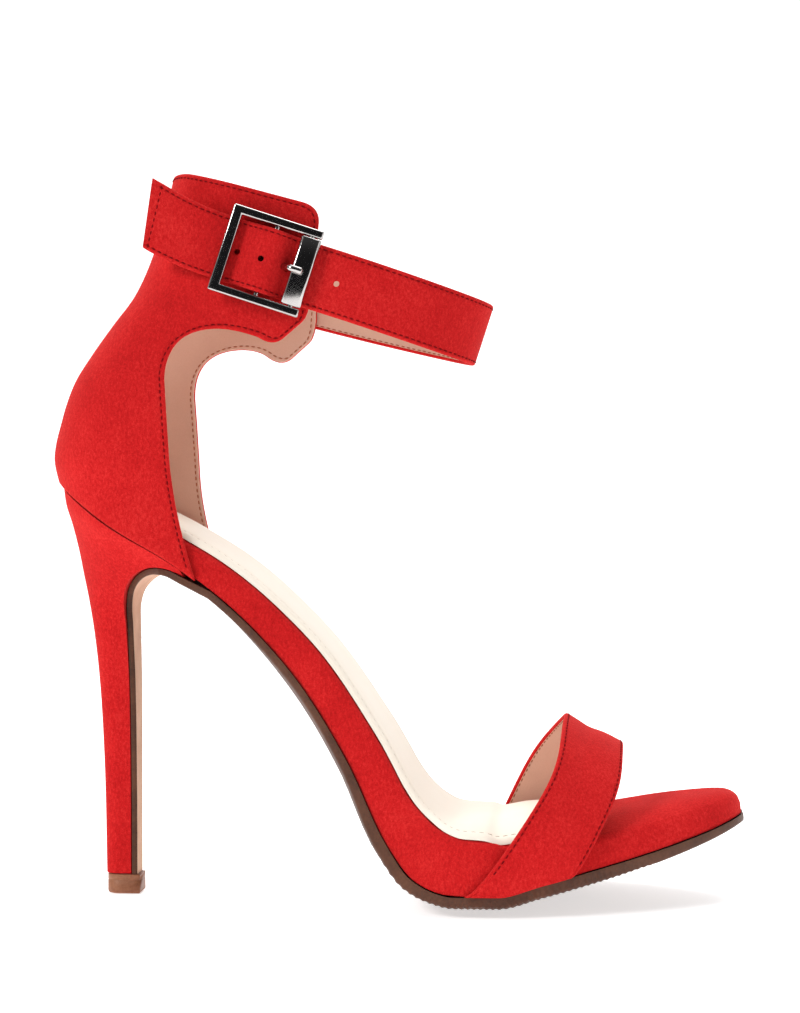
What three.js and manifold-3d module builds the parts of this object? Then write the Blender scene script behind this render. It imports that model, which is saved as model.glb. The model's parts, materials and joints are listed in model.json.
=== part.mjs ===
// Strappy stiletto sandal for the right foot, in millimetres.
// +X points to the toe, +Y to the medial side and +Z up; the sandal stands on the plane z = 0.
import * as THREE from "three";
import { mergeVertices } from "three/addons/utils/BufferGeometryUtils.js";
import Module from "manifold-3d";

const wasm = await Module();
wasm.setup();

// Sole and last
const SOLE_LENGTH = 191; // back of the footbed to the toe tip, along the floor
const SEAT_HEIGHT = 115.5; // floor to the back of the heel seat
const SEAT_WIDTH = 48.4; // footbed inside the counter
const BALL_WIDTH = 74.2; // footbed at its widest
const TOE_SPRING = 21; // rise of the sole from the ball to the toe tip
const PLATFORM = 15.5; // height of the wrapped rand under the ball
const EDGE_LIFT = 2.7; // how far the rounded sole lifts at its edges
const CROWN = 4.5; // rise of the footbed's middle over its edges
const SEAT_ROUND = 25.4; // length of the rounded back of the footbed
const TOE_ROUND = 45; // length of the rounded toe
const OUTSOLE_THICK = 3;
const OUTSOLE_LEDGE = 0.6; // outsole outside the rand
const INSOLE_THICK = 1.7;
const INSOLE_INSET = 1.7; // insole inside the footbed's edge
const INSOLE_FRONT = 0.758; // end of the insole under the toe strap, a share of the sole's length
const CLEARANCE = 0.3; // gap between pieces that touch

// Heel
const TIP_HEIGHT = 5.5;
const TIP_LENGTH = 10;
const TIP_LEDGE = 2.3; // tip ahead of the heel's breast
const TIP_WIDTH = 8.5;
const BREAST_FLAP = 1.5; // thickness of the sole's flap down the heel
const STEM_FRONT = 17.3; // front of the stem, ahead of the back of the footbed

// Counter and ankle cuff
const WALL = 1.8;
const CUFF_RISE = 88.8; // back of the heel seat to the top of the cuff
const CUFF_LEAN = 29.6; // how far the cuff leans forward of the back of the footbed
const ANKLE_WIDTH = 51; // outside of the cuff
const TOE_IN = 0.055; // how fast the cuff's sides close towards the front
const CUFF_REACH = 73.5; // back of the footbed to the front corner of the cuff
const OPENING_REACH = 31.4; // back of the footbed to the edge of the open waist
const MEDIAL_DROP = 3; // the cuff is lower on the medial side
const MEDIAL_SHORT = 3.5; // and ends sooner

// Straps
const STRAP_THICK = 1.8;
const TOE_STRAP_REAR = 114.4; // rear edge at the lateral side, ahead of the back of the footbed
const TOE_STRAP_WIDTH = 28.6; // along the lateral side
const TOE_STRAP_TOP_WIDTH = 16.6; // along the top of the toes
const TOE_STRAP_LEAN = 26; // how far the top lies ahead of the lateral side
const TOE_STRAP_HEIGHT = 30; // over the footbed
const TOE_STRAP_FALL = 8; // its front edge is lower at the top
const ANKLE_STRAP_WIDTH = 18;
const ANKLE_STRAP_TILT = THREE.MathUtils.degToRad(18); // down to the front
const MEDIAL_TILT = THREE.MathUtils.degToRad(14.5); // of its medial run
const ANKLE_LOOP_REACH = 117.2; // back of the footbed to the front of the loop
const FREE_END = 21.3; // past the buckle
const FREE_END_SLANT = 7; // how much longer its upper edge is

// Buckle, in its own frame: a along the strap to the front, h across it, n out of the cuff
const BUCKLE_ALONG = 59.1; // back of the footbed to its middle
const BUCKLE_RISE = 63.2; // over the back of the heel seat
const BUCKLE_LENGTH = 26;
const BUCKLE_RAIL = 2.4; // rails above and below the strap
const BUCKLE_BAR = 2.9; // rear bar, seen from outside
const FRAME_THICK = 2.2;
const BAR_RADIUS = 0.7; // centre bar and roller bar
const ROLLER_LENGTH = 5.6;
const ROLLER_THICK = 2.8;
const PRONG_RADIUS = 1;
const LOOP_THICK = 0.9; // leather of the loop over the centre bar
const LOOP_WIDTH = 13;
const LOOP_FOOT = 2.2; // stitched length on each side of the bar

// Plain plate under the waist
const PLATE_LENGTH = 9;
const PLATE_WIDTH = 13;
const PLATE_THICK = 0.8;
const PLATE_ALONG = 0.378; // share of the sole's length

// Where the named sizes put things
const BACK_X = -SOLE_LENGTH / 2;
const BALL_TOP = OUTSOLE_THICK + CLEARANCE; // underside of the footbed at the ball
const SEAT_RISE = SEAT_HEIGHT - BALL_TOP;
const COUNTER_GAP = WALL + CLEARANCE;

// Rows of numbers under named columns
function table(columns, rows) {
  const names = columns.split(" ");
  return rows.map((row) => Object.fromEntries(names.map((name, i) => [name, row[i]])));
}

// The sole from the heel to the toe. Shares: along of SOLE_LENGTH, rise of SEAT_RISE, spring of
// TOE_SPRING, thick of PLATFORM, lift of EDGE_LIFT, crown of CROWN, axis of half BALL_WIDTH, seat of
// half SEAT_WIDTH and ball of half BALL_WIDTH, which add up to the half width, and sole of
// OUTSOLE_THICK. lean is how far a section turns from upright to square with the sole.
const SOLE = table("along rise spring thick lift crown axis seat ball sole lean", [
  [0, 1, 0, 0.45, 0, 0.2, 0, 1, 0, 0.6, 0],
  [0.0733, 0.914, 0, 0.45, 0, 0.2, 0, 1, 0, 0.6, 0.1],
  [0.1681, 0.82, 0, 0.46, 0.1, 0.2, 0, 1, 0, 0.6, 0.4],
  [0.2306, 0.739, 0, 0.505, 0.3, 0.15, -0.01, 0.98, 0, 0.7, 0.6],
  [0.2931, 0.625, 0, 0.551, 0.8, 0.1, -0.027, 0.83, 0.07, 0.68, 0.66],
  [0.3556, 0.488, 0, 0.615, 1.08, 0.08, -0.047, 0.6, 0.22, 0.66, 0.66],
  [0.4192, 0.316, 0, 0.667, 1.04, 0.06, -0.067, 0.35, 0.43, 0.82, 0.66],
  [0.4716, 0.1405, 0, 0.788, 0.92, 0.06, -0.08, 0.17, 0.63, 1.1, 0.66],
  [0.513, 0.0455, 0, 0.968, 0.9, 0.08, -0.074, 0.06, 0.79, 1.1, 0.7],
  [0.5553, 0.008, 0, 1, 0.97, 0.15, -0.06, 0, 0.91, 1, 0.8],
  [0.58, 0, 0, 0.97, 1, 0.22, -0.04, 0, 0.957, 1, 1],
  [0.645, 0, 0, 0.89, 1, 0.35, -0.005, 0, 0.997, 1, 1],
  [0.7015, 0, 0.138, 0.735, 0.95, 0.6, 0.018, 0, 0.988, 1.05, 0.9],
  [0.7852, 0, 0.357, 0.49, 0.8, 0.9, 0.04, 0, 0.89, 1.1, 0.7],
  [0.8689, 0, 0.576, 0.43, 0.6, 0.92, 0.06, 0, 0.768, 1, 0.5],
  [0.9526, 0, 0.824, 0.35, 0.4, 0.72, 0.075, 0, 0.67, 0.8, 0.3],
  [1, 0, 1, 0.27, 0.2, 0.4, 0.08, 0, 0.62, 0.65, 0.2],
]);

// The counter and cuff from below the seat to over the cuff. level is a share of CUFF_RISE over the
// seat, back of CUFF_LEAN ahead of the seat's back, ankle the share of the ankle's width in the mix
// with the seat's, swell widens it, front says how far forward the wall is laid out before its
// outline is cut, from the opening (0) to the cuff's corner (1).
const COUNTER = table("level back ankle swell front", [
  [-0.38, 0.03, 0, 1, 0],
  [-0.177, 0, 0, 1, 0],
  [0, -0.045, 0, 1.01, 0],
  [0.103, -0.105, 0.1, 1.04, 0],
  [0.234, -0.025, 0.3, 1.05, 0],
  [0.34, 0.085, 0.6, 1.04, 0.1],
  [0.44, 0.27, 0.85, 1.01, 1],
  [0.53, 0.465, 1, 1, 1],
  [0.628, 0.685, 1, 1, 1],
  [0.758, 0.86, 1, 1, 1],
  [0.884, 0.97, 1, 1, 1],
  [1.06, 1.1, 1, 1, 1],
]);

// The underside's curve from the tip up the heel's breast and into the arch. Shares: along of
// STEM_FRONT ahead of the back of the footbed, rise of SEAT_HEIGHT, seat of half SEAT_WIDTH and tip of
// half TIP_WIDTH, which add up to the half width.
const BREAST = table("along rise seat tip", [
  [1, 0.06, 0, 1],
  [0.995, 0.3, 0.01, 1],
  [0.983, 0.52, 0.05, 1],
  [0.955, 0.66, 0.09, 1],
  [0.948, 0.72, 0.13, 1],
  [1.017, 0.762, 0.23, 1],
  [1.207, 0.795, 0.4, 1],
  [1.483, 0.811, 0.6, 1],
  [1.782, 0.807, 0.8, 0.7],
  [2.036, 0.79, 0.93, 0.3],
]);

// The heel from its tip to the seat. Shares: back and front of SOLE_LENGTH ahead of the footbed's
// back, low and high of SEAT_HEIGHT at the front and the back of a section, seat of half the counter's
// width and tip of half TIP_WIDTH, which add up to the half width.
const HEEL = table("back front high low seat tip", [
  [0.0488, 0.1046, 0.05, 0.05, 0, 1],
  [0.0463, 0.1046, 0.26, 0.26, 0.01, 1],
  [0.0403, 0.1046, 0.476, 0.47, 0.035, 1],
  [0.0317, 0.1066, 0.627, 0.6, 0.085, 1],
  [0.0226, 0.1177, 0.727, 0.67, 0.17, 1],
  [0.0155, 0.1479, 0.79, 0.72, 0.33, 1],
  [0.0085, 0.1782, 0.855, 0.755, 0.56, 0.8],
  [-0.0011, 0.2034, 0.922, 0.78, 0.8, 0.4],
  [-0.0102, 0.2185, 0.975, 0.8, 0.965, 0.1],
  [-0.0142, 0.2235, 1.03, 0.84, 1, 0],
]);

// A smooth curve through a table's rows that never swings past them
function curveThrough(rows, key, value) {
  const x = rows.map((row) => row[key]);
  const y = rows.map((row) => row[value]);
  const step = x.slice(1).map((right, i) => right - x[i]);
  const slope = step.map((h, i) => (y[i + 1] - y[i]) / h);
  const tangent = y.map((_, i) => {
    if (i === 0) return slope[0];
    if (i === y.length - 1) return slope[i - 1];
    if (slope[i - 1] * slope[i] <= 0) return 0;
    const before = 2 * step[i] + step[i - 1];
    const after = step[i] + 2 * step[i - 1];
    return (before + after) / (before / slope[i - 1] + after / slope[i]);
  });
  return (at) => {
    if (at <= x[0]) return y[0] + (at - x[0]) * slope[0];
    const last = x.length - 1;
    if (at >= x[last]) return y[last] + (at - x[last]) * slope[last - 1];
    let i = 0;
    while (at > x[i + 1]) i += 1;
    const h = step[i];
    const t = (at - x[i]) / h;
    return (
      y[i] * (1 + 2 * t) * (1 - t) ** 2 +
      tangent[i] * h * t * (1 - t) ** 2 +
      y[i + 1] * t * t * (3 - 2 * t) +
      tangent[i + 1] * h * t * t * (t - 1)
    );
  };
}

// Functions of every column of a table
function curvesOf(rows, key) {
  const names = Object.keys(rows[0]).filter((name) => name !== key);
  return Object.fromEntries(names.map((name) => [name, curveThrough(rows, key, name)]));
}

// Share of the full width at a share of a rounded end's length
const ROUND_POWER = 2.2;
function roundEnd(share) {
  const t = THREE.MathUtils.clamp(share, 0, 1);
  return (1 - (1 - t) ** ROUND_POWER) ** (1 / ROUND_POWER);
}

// Closed surface from vertices and triangles, facing out
function closed(vertices, triangles) {
  const geometry = new THREE.BufferGeometry();
  const flat = vertices.flatMap((v) => [v.x, v.y, v.z]);
  let volume = 0;
  for (const [a, b, c] of triangles) {
    volume += vertices[a].dot(vertices[b].clone().cross(vertices[c]));
  }
  const index = triangles.flatMap(([a, b, c]) => (volume < 0 ? [a, c, b] : [a, b, c]));
  geometry.setAttribute("position", new THREE.Float32BufferAttribute(flat, 3));
  geometry.setIndex(index);
  return geometry;
}

// Skin over rings of equally many points, with each end filled round its middle
function loft(rings) {
  const count = rings[0].length;
  const vertices = rings.flat();
  const triangles = [];
  for (let i = 0; i < rings.length - 1; i += 1) {
    for (let j = 0; j < count; j += 1) {
      const a = i * count + j;
      const b = i * count + ((j + 1) % count);
      triangles.push([a, b, b + count], [a, b + count, a + count]);
    }
  }
  const middle = (ring) =>
    ring.reduce((sum, p) => sum.add(p), new THREE.Vector3()).divideScalar(count);
  const last = (rings.length - 1) * count;
  const start = vertices.push(middle(rings[0])) - 1;
  const end = vertices.push(middle(rings[rings.length - 1])) - 1;
  for (let j = 0; j < count; j += 1) {
    const next = (j + 1) % count;
    triangles.push([start, next, j], [end, last + j, last + next]);
  }
  return closed(vertices, triangles);
}

// Sheet with a thickness between two grids of points
function slab(outer, inner) {
  const rows = outer.length;
  const columns = outer[0].length;
  const vertices = [...outer.flat(), ...inner.flat()];
  const half = rows * columns;
  const triangles = [];
  const quad = (a, b, c, d) => triangles.push([a, b, c], [a, c, d]);
  for (let i = 0; i < rows - 1; i += 1) {
    for (let j = 0; j < columns - 1; j += 1) {
      const a = i * columns + j;
      const d = a + columns;
      quad(a, a + 1, d + 1, d);
      quad(half + a + 1, half + a, half + d, half + d + 1);
    }
  }
  for (let i = 0; i < rows - 1; i += 1) {
    const a = i * columns;
    const b = a + columns - 1;
    quad(a, a + columns, half + a + columns, half + a);
    quad(b + columns, b, half + b, half + b + columns);
  }
  for (let j = 0; j < columns - 1; j += 1) {
    const b = (rows - 1) * columns + j;
    quad(j + 1, j, half + j, half + j + 1);
    quad(b, b + 1, half + b + 1, half + b);
  }
  return closed(vertices, triangles);
}

// A grid moved along its own normals; side 1 or -1 picks the side
function offsetGrid(grid, distance, side) {
  const at = (i, j) =>
    grid[THREE.MathUtils.clamp(i, 0, grid.length - 1)][
      THREE.MathUtils.clamp(j, 0, grid[0].length - 1)
    ];
  return grid.map((row, i) =>
    row.map((p, j) => {
      const along = at(i + 1, j).clone().sub(at(i - 1, j));
      const across = at(i, j + 1).clone().sub(at(i, j - 1));
      const normal = along.cross(across).normalize();
      return p.clone().addScaledVector(normal, distance * side);
    }),
  );
}

// Geometry to a solid that can be joined and cut, and back
function solidOf(geometry) {
  const bare = geometry.clone();
  bare.deleteAttribute("normal");
  bare.deleteAttribute("uv");
  const merged = mergeVertices(bare, 1e-4);
  return new wasm.Manifold(
    new wasm.Mesh({
      numProp: 3,
      vertProperties: merged.attributes.position.array,
      triVerts: new Uint32Array(merged.index.array),
    }),
  );
}

function geometryOf(solid) {
  const mesh = solid.getMesh();
  const geometry = new THREE.BufferGeometry();
  geometry.setAttribute("position", new THREE.BufferAttribute(mesh.vertProperties, mesh.numProp));
  geometry.setIndex(new THREE.BufferAttribute(mesh.triVerts, 1));
  return geometry;
}

// A side-view outline pulled out along Y
function prism(shape, fromY, toY) {
  const geometry = new THREE.ExtrudeGeometry(shape, {
    depth: toY - fromY,
    bevelEnabled: false,
    curveSegments: 6,
  });
  geometry.rotateX(Math.PI / 2);
  geometry.translate(0, toY, 0);
  return geometry;
}

// Numbers from first to last in equal steps
const steps = (first, last, count) =>
  Array.from({ length: count + 1 }, (_, i) => first + ((last - first) * i) / count);

// The sole's own curves
const sole = curvesOf(SOLE, "along");
const alongOf = (x) => (x - BACK_X) / SOLE_LENGTH;
const featherHeight = (x) =>
  BALL_TOP + SEAT_RISE * sole.rise(alongOf(x)) + TOE_SPRING * sole.spring(alongOf(x));

// Half width of the footbed at x, made larger all round by grow
function halfWidth(x, grow) {
  const along = alongOf(x);
  const half = (sole.seat(along) * SEAT_WIDTH + sole.ball(along) * BALL_WIDTH) / 2;
  const fromBack = (x - BACK_X + grow) / (SEAT_ROUND + grow);
  const fromToe = (BACK_X + SOLE_LENGTH + grow - x) / (TOE_ROUND + grow);
  return (half + grow) * roundEnd(fromBack) * roundEnd(fromToe);
}

// Frame of the sole at x: origin under the footbed, up across the sole
function station(x) {
  const nudge = 0.5;
  const slope = (featherHeight(x + nudge) - featherHeight(x - nudge)) / (2 * nudge);
  const turn = Math.atan(slope) * sole.lean(alongOf(x));
  return {
    x,
    along: alongOf(x),
    origin: new THREE.Vector3(x, (sole.axis(alongOf(x)) * BALL_WIDTH) / 2, featherHeight(x)),
    up: new THREE.Vector3(-Math.sin(turn), 0, Math.cos(turn)),
  };
}

// How far the rounded underside lifts at a share of its half width
const FLAT_SHARE = 0.36;
function edgeLift(at, share) {
  const t = Math.max(0, (Math.abs(share) - FLAT_SHARE) / (1 - FLAT_SHARE));
  return EDGE_LIFT * sole.lift(at.along) * t * t;
}

// Point at a share of the half width and a height over the underside of the footbed
function solePoint(at, share, height, grow) {
  const p = at.origin.clone().addScaledVector(at.up, height);
  p.y += share * halfWidth(at.x, grow);
  return p;
}

// Places along a piece, closer together at its rounded ends
function crowded(first, last, count) {
  return steps(0, 1, count).map((t) => {
    const even = first + (last - first) * t;
    const round = (first + last) / 2 - ((last - first) / 2) * Math.cos(Math.PI * t);
    return (even + round) / 2;
  });
}

const BOTTOM_SHARES = [-1, -0.8, -0.6, -FLAT_SHARE, 0, FLAT_SHARE, 0.6, 0.8, 1];

// Top of the footbed at a share of its half width
function footbedTop(at, share) {
  const rand = PLATFORM * sole.thick(at.along) + EDGE_LIFT * sole.lift(at.along);
  return rand + CROWN * sole.crown(at.along) * (1 - share ** 4);
}

const RAND_DRAFT = 0.985; // the rand draws in a little towards its top
const RAND_ROUND = 1.3; // radius of its top edge

// Where the sole is cut into sections, with the two ends of the insole among them
const SECTION_END = 0.25; // the last sections' distance from the sole's very ends
const insoleBack = BACK_X + INSOLE_INSET + CLEARANCE;
const insoleFront = BACK_X + SOLE_LENGTH * INSOLE_FRONT;
const solePlaces = [
  ...crowded(BACK_X + SECTION_END, BACK_X + SOLE_LENGTH - SECTION_END, 32),
  insoleBack,
  insoleFront,
].sort((a, b) => a - b);

function footbed() {
  const rings = solePlaces.map((x) => {
    const at = station(x);
    const top = [1, 0.96, 0.78, 0.5, 0, -0.5, -0.78, -0.96, -1];
    return [
      ...BOTTOM_SHARES.map((s) => solePoint(at, s, edgeLift(at, s), 0)),
      ...top.map((s) => {
        const shoulder = Math.abs(s) === 1 ? RAND_ROUND : 0;
        return solePoint(at, s * RAND_DRAFT, footbedTop(at, s) - shoulder, 0);
      }),
    ];
  });
  return loft(rings);
}

function insole() {
  const shares = [-1, -0.93, -0.7, -0.35, 0, 0.35, 0.7, 0.93, 1];
  const places = solePlaces.filter((x) => x >= insoleBack && x <= insoleFront);
  const rings = places.map((x) => {
    const at = station(x);
    const narrower = halfWidth(x, -INSOLE_INSET) / halfWidth(x, 0);
    const low = (s) => footbedTop(at, s * narrower) + CLEARANCE;
    return [
      ...shares.map((s) => solePoint(at, s, low(s), -INSOLE_INSET)),
      ...shares
        .map((s) => {
          const full = Math.abs(s) === 1 ? 0.55 : 1;
          return solePoint(at, s, low(s) + INSOLE_THICK * full, -INSOLE_INSET);
        })
        .reverse(),
    ];
  });
  return loft(rings);
}

// The breast's curve in the side view, on the heel's side of the flap
const breastRows = BREAST.map((row) => ({
  x: BACK_X + row.along * STEM_FRONT,
  z: row.rise * SEAT_HEIGHT,
  half: (row.seat * SEAT_WIDTH + row.tip * TIP_WIDTH) / 2,
}));
const breastCurve = new THREE.CatmullRomCurve3(
  breastRows.map((row) => new THREE.Vector3(row.x, row.half, row.z)),
  false,
  "centripetal",
);

const JOIN_ALONG = 0.2256; // share of the sole's length where the breast's curve meets the arch

function outsole() {
  const ring = (centre, up, thick, half, lift) => [
    ...BOTTOM_SHARES.map((s) => {
      const p = centre.clone().addScaledVector(up, lift(s) - thick);
      p.y += s * half;
      return p;
    }),
    ...[...BOTTOM_SHARES].reverse().map((s) => {
      const p = centre.clone().addScaledVector(up, lift(s));
      p.y += s * half;
      return p;
    }),
  ];
  const flap = steps(0, 1, 20).map((t) => {
    const p = breastCurve.getPoint(t);
    const way = breastCurve.getTangent(t);
    const up = new THREE.Vector3(-way.z, 0, way.x).normalize();
    const thick = THREE.MathUtils.lerp(BREAST_FLAP, OUTSOLE_THICK * 0.65, t ** 3);
    const centre = new THREE.Vector3(p.x, 0, p.z);
    return ring(centre, up, thick, p.y, () => 0);
  });
  const last = BACK_X + SOLE_LENGTH + OUTSOLE_LEDGE - 0.25;
  const arch = crowded(BACK_X + JOIN_ALONG * SOLE_LENGTH, last, 34).map((x) => {
    const at = station(x);
    const centre = at.origin.clone().addScaledVector(at.up, -CLEARANCE);
    const thick = OUTSOLE_THICK * sole.sole(at.along);
    const half = halfWidth(x, OUTSOLE_LEDGE);
    return ring(centre, at.up, thick, half, (s) => edgeLift(at, s));
  });
  return loft([...flap, ...arch]);
}

// A ring with a flat front and a round back, between two points of the side view
function dRing(back, front, half) {
  const length = back.distanceTo(front);
  const roundLength = Math.min(half * 1.08, length * 0.8);
  const way = front.clone().sub(back).normalize();
  const side = (sign) =>
    steps(0, 1, 7).map((t) => {
      const share = 1 - Math.cos((t * Math.PI) / 2);
      const p = back.clone().addScaledVector(way, share * roundLength);
      p.y += sign * half * roundEnd(share);
      return p;
    });
  const corner = (sign) => front.clone().add(new THREE.Vector3(0, sign * half, 0));
  return [corner(-1), ...side(-1).reverse(), ...side(1).slice(1), corner(1)];
}

function heel() {
  const rows = HEEL.map((row, i) => ({ ...row, i }));
  const of = curvesOf(rows, "i");
  const rings = steps(0, rows.length - 1, 18).map((i) => {
    const back = new THREE.Vector3(BACK_X + of.back(i) * SOLE_LENGTH, 0, of.high(i) * SEAT_HEIGHT);
    const front = new THREE.Vector3(BACK_X + of.front(i) * SOLE_LENGTH, 0, of.low(i) * SEAT_HEIGHT);
    const seatHalf = SEAT_WIDTH / 2 + COUNTER_GAP;
    return dRing(back, front, of.seat(i) * seatHalf + (of.tip(i) * TIP_WIDTH) / 2);
  });
  // The side view of the heel, clear of the tip, the sole's flap and the footbed
  const side = new THREE.Shape();
  const seat = steps(BACK_X - 2 * COUNTER_GAP, BACK_X + JOIN_ALONG * SOLE_LENGTH, 12);
  const curve = steps(0, 1, 24).map((t) => {
    const p = breastCurve.getPoint(t);
    const way = breastCurve.getTangent(t);
    const away = new THREE.Vector2(-way.z, way.x).normalize();
    return new THREE.Vector2(p.x, p.z).addScaledVector(away, CLEARANCE);
  });
  const floor = TIP_HEIGHT + CLEARANCE;
  const above = curve.filter((p) => p.y > floor && p.y < featherHeight(p.x) - 2 * CLEARANCE);
  side.moveTo(BACK_X - 2 * COUNTER_GAP, floor);
  side.lineTo(above[0].x, floor);
  above.forEach((p) => side.lineTo(p.x, p.y));
  [...seat].reverse().forEach((x) => {
    if (x < above[above.length - 1].x) side.lineTo(x, featherHeight(x) - CLEARANCE);
  });
  side.closePath();
  const block = solidOf(prism(side, -SEAT_WIDTH, SEAT_WIDTH));
  return geometryOf(solidOf(loft(rings)).intersect(block));
}

function heelTip() {
  const ringAt = (z, inset) => {
    const reach = breastRows[0].x + TIP_LEDGE;
    const front = new THREE.Vector3(reach - inset, 0, z);
    const back = new THREE.Vector3(reach - TIP_LENGTH + inset, 0, z);
    return dRing(back, front, TIP_WIDTH / 2 - inset);
  };
  return loft([ringAt(0, 0.35), ringAt(0.6, 0.1), ringAt(TIP_HEIGHT, 0)]);
}

// The counter's own curves
const counter = curvesOf(COUNTER, "level");
const levelOf = (z) => (z - SEAT_HEIGHT) / CUFF_RISE;

// Plan of the wall at height z, drawn in by inset
function planAt(z, inset) {
  const level = levelOf(z);
  const seatHalf = SEAT_WIDTH / 2 + COUNTER_GAP;
  const mixed = THREE.MathUtils.lerp(seatHalf, ANKLE_WIDTH / 2, counter.ankle(level));
  const half = mixed * counter.swell(level);
  const back = BACK_X - COUNTER_GAP + counter.back(level) * CUFF_LEAN;
  const straightFrom = back + half * 1.05;
  return {
    back: back + inset,
    half: half - inset,
    straightFrom,
    toeIn: TOE_IN * THREE.MathUtils.clamp(counter.ankle(level), 0, 1),
  };
}

function wallHalf(x, z, inset) {
  const plan = planAt(z, inset);
  const round = roundEnd((x - plan.back) / (plan.straightFrom - plan.back));
  return plan.half * round - plan.toeIn * Math.max(0, x - plan.straightFrom);
}

// Side-view outline of the counter and cuff, lower and shorter on the medial side by drop and short
function counterOutline(drop, short) {
  // A point by its base, its share of the cuff's reach from there, and its share of the rise
  const place = (base, share, rise, down) => [
    BACK_X + base + share * CUFF_REACH,
    SEAT_HEIGHT + rise * CUFF_RISE - down,
  ];
  const at = (base, share, rise) => place(base, share, rise, drop);
  const opening = OPENING_REACH;
  const corner = CUFF_REACH - short;
  const shape = new THREE.Shape();
  const foot = opening + 0.106 * CUFF_REACH;
  const low = steps(BACK_X - 4 * COUNTER_GAP, BACK_X + foot, 16);
  shape.moveTo(low[0], featherHeight(low[0]));
  low.slice(1).forEach((x) => shape.lineTo(x, featherHeight(x)));
  shape.quadraticCurveTo(...at(opening, 0.02, -0.07), ...at(opening, 0.008, 0.1));
  shape.lineTo(...at(opening, -0.011, 0.345));
  shape.quadraticCurveTo(...at(opening, -0.011, 0.505), ...at(opening, 0.19, 0.505));
  shape.quadraticCurveTo(...at(opening, 0.258, 0.503), ...at(corner, -0.231, 0.478));
  shape.quadraticCurveTo(...at(corner, -0.175, 0.447), ...at(corner, -0.136, 0.475));
  shape.lineTo(...at(corner, -0.06, 0.53));
  shape.quadraticCurveTo(...at(corner, -0.041, 0.55), ...at(corner, -0.034, 0.6));
  shape.lineTo(...at(corner - short / 2, -0.001, 0.83));
  shape.quadraticCurveTo(...at(corner - short / 2, 0.005, 0.885), ...at(corner, -0.068, 0.9));
  shape.lineTo(...place(opening, 0.054, 1.0, drop / 2));
  shape.quadraticCurveTo(...place(opening, -0.014, 1.01, 0), ...place(opening, -0.054, 1.005, 0));
  shape.lineTo(...place(-4 * COUNTER_GAP, 0, 0.97, 0));
  shape.closePath();
  return shape;
}

function heelCounter() {
  const low = Math.min(featherHeight(BACK_X + OPENING_REACH + 9), SEAT_HEIGHT) - 3;
  const top = SEAT_HEIGHT + CUFF_RISE * 1.04;
  const heights = steps(low, top, 24);
  const wall = (inset) =>
    heights.map((z) => {
      const plan = planAt(z, inset);
      const reach = THREE.MathUtils.lerp(
        OPENING_REACH + 10,
        CUFF_REACH + 2,
        THREE.MathUtils.clamp(counter.front(levelOf(z)), 0, 1),
      );
      const front = BACK_X + reach;
      const round = steps(0, 1, 12).map((t) => {
        const share = 1 - Math.cos((t * Math.PI) / 2);
        return plan.back + share * (plan.straightFrom - plan.back);
      });
      const straight = steps(plan.straightFrom, front, 4).slice(1);
      const side = [...round, ...straight];
      const points = (sign) =>
        side.map((x) => new THREE.Vector3(x, sign * wallHalf(x, z, inset), z));
      return [...points(-1).reverse(), ...points(1).slice(1)];
    });
  const shell = solidOf(slab(wall(0), wall(WALL)));
  const wide = ANKLE_WIDTH + SEAT_WIDTH;
  const lateral = solidOf(prism(counterOutline(0, 0), -wide, 0));
  const medial = solidOf(prism(counterOutline(MEDIAL_DROP, MEDIAL_SHORT), 0, wide));
  return geometryOf(shell.intersect(lateral.add(medial)));
}

// The toe strap's inner face: rows from its rear to its front edge, columns over the toes
const ARCH_POWER_ACROSS = 2.3;
const ARCH_POWER_UP = 1.9;
const LATERAL_LEAN = 0.72; // powers of the strap's lean over its height
const MEDIAL_LEAN = 0.98;
const LATERAL_BULGE = 0.13; // shares of the lean by which the edges curve away, highest up the side
const MEDIAL_BULGE = -0.09;
const BULGE_POWER = 2.3;
function toeStrapFace() {
  const sideSteps = [0, 0.34, 0.67];
  const archSteps = steps(0, Math.PI, 22);
  return steps(0, 1, 4).map((u) => {
    const foot = BACK_X + TOE_STRAP_REAR + u * TOE_STRAP_WIDTH;
    const lean = TOE_STRAP_LEAN + u * (TOE_STRAP_TOP_WIDTH - TOE_STRAP_WIDTH);
    const at = station(foot);
    const low = at.origin.z + edgeLift(at, 1);
    const randTop = low + PLATFORM * sole.thick(at.along);
    const apex = randTop + TOE_STRAP_HEIGHT - u * TOE_STRAP_FALL;
    const point = (share, z) => {
      const power = THREE.MathUtils.lerp(LATERAL_LEAN, MEDIAL_LEAN, (share + 1) / 2);
      const up = (z - low) / (apex - low);
      const bulge = THREE.MathUtils.lerp(LATERAL_BULGE, MEDIAL_BULGE, (share + 1) / 2);
      const x = foot + lean * (up ** power + bulge * Math.sin(Math.PI * up ** BULGE_POWER));
      const middle = (sole.axis(alongOf(x)) * BALL_WIDTH) / 2;
      return new THREE.Vector3(x, middle + share * halfWidth(x, 1.6 * CLEARANCE), z);
    };
    const side = (sign) => sideSteps.map((t) => point(sign, low + t * (randTop - low)));
    const arch = archSteps.map((angle) => {
      const cos = Math.cos(angle);
      const share = -Math.sign(cos) * Math.abs(cos) ** (2 / ARCH_POWER_ACROSS);
      const up = Math.max(0, Math.sin(angle)) ** (2 / ARCH_POWER_UP);
      return point(share, randTop + up * (apex - randTop));
    });
    return [...side(-1), ...arch, ...side(1).reverse()];
  });
}

function toeStrap() {
  const face = toeStrapFace();
  return slab(offsetGrid(face, STRAP_THICK, 1), face);
}

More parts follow.
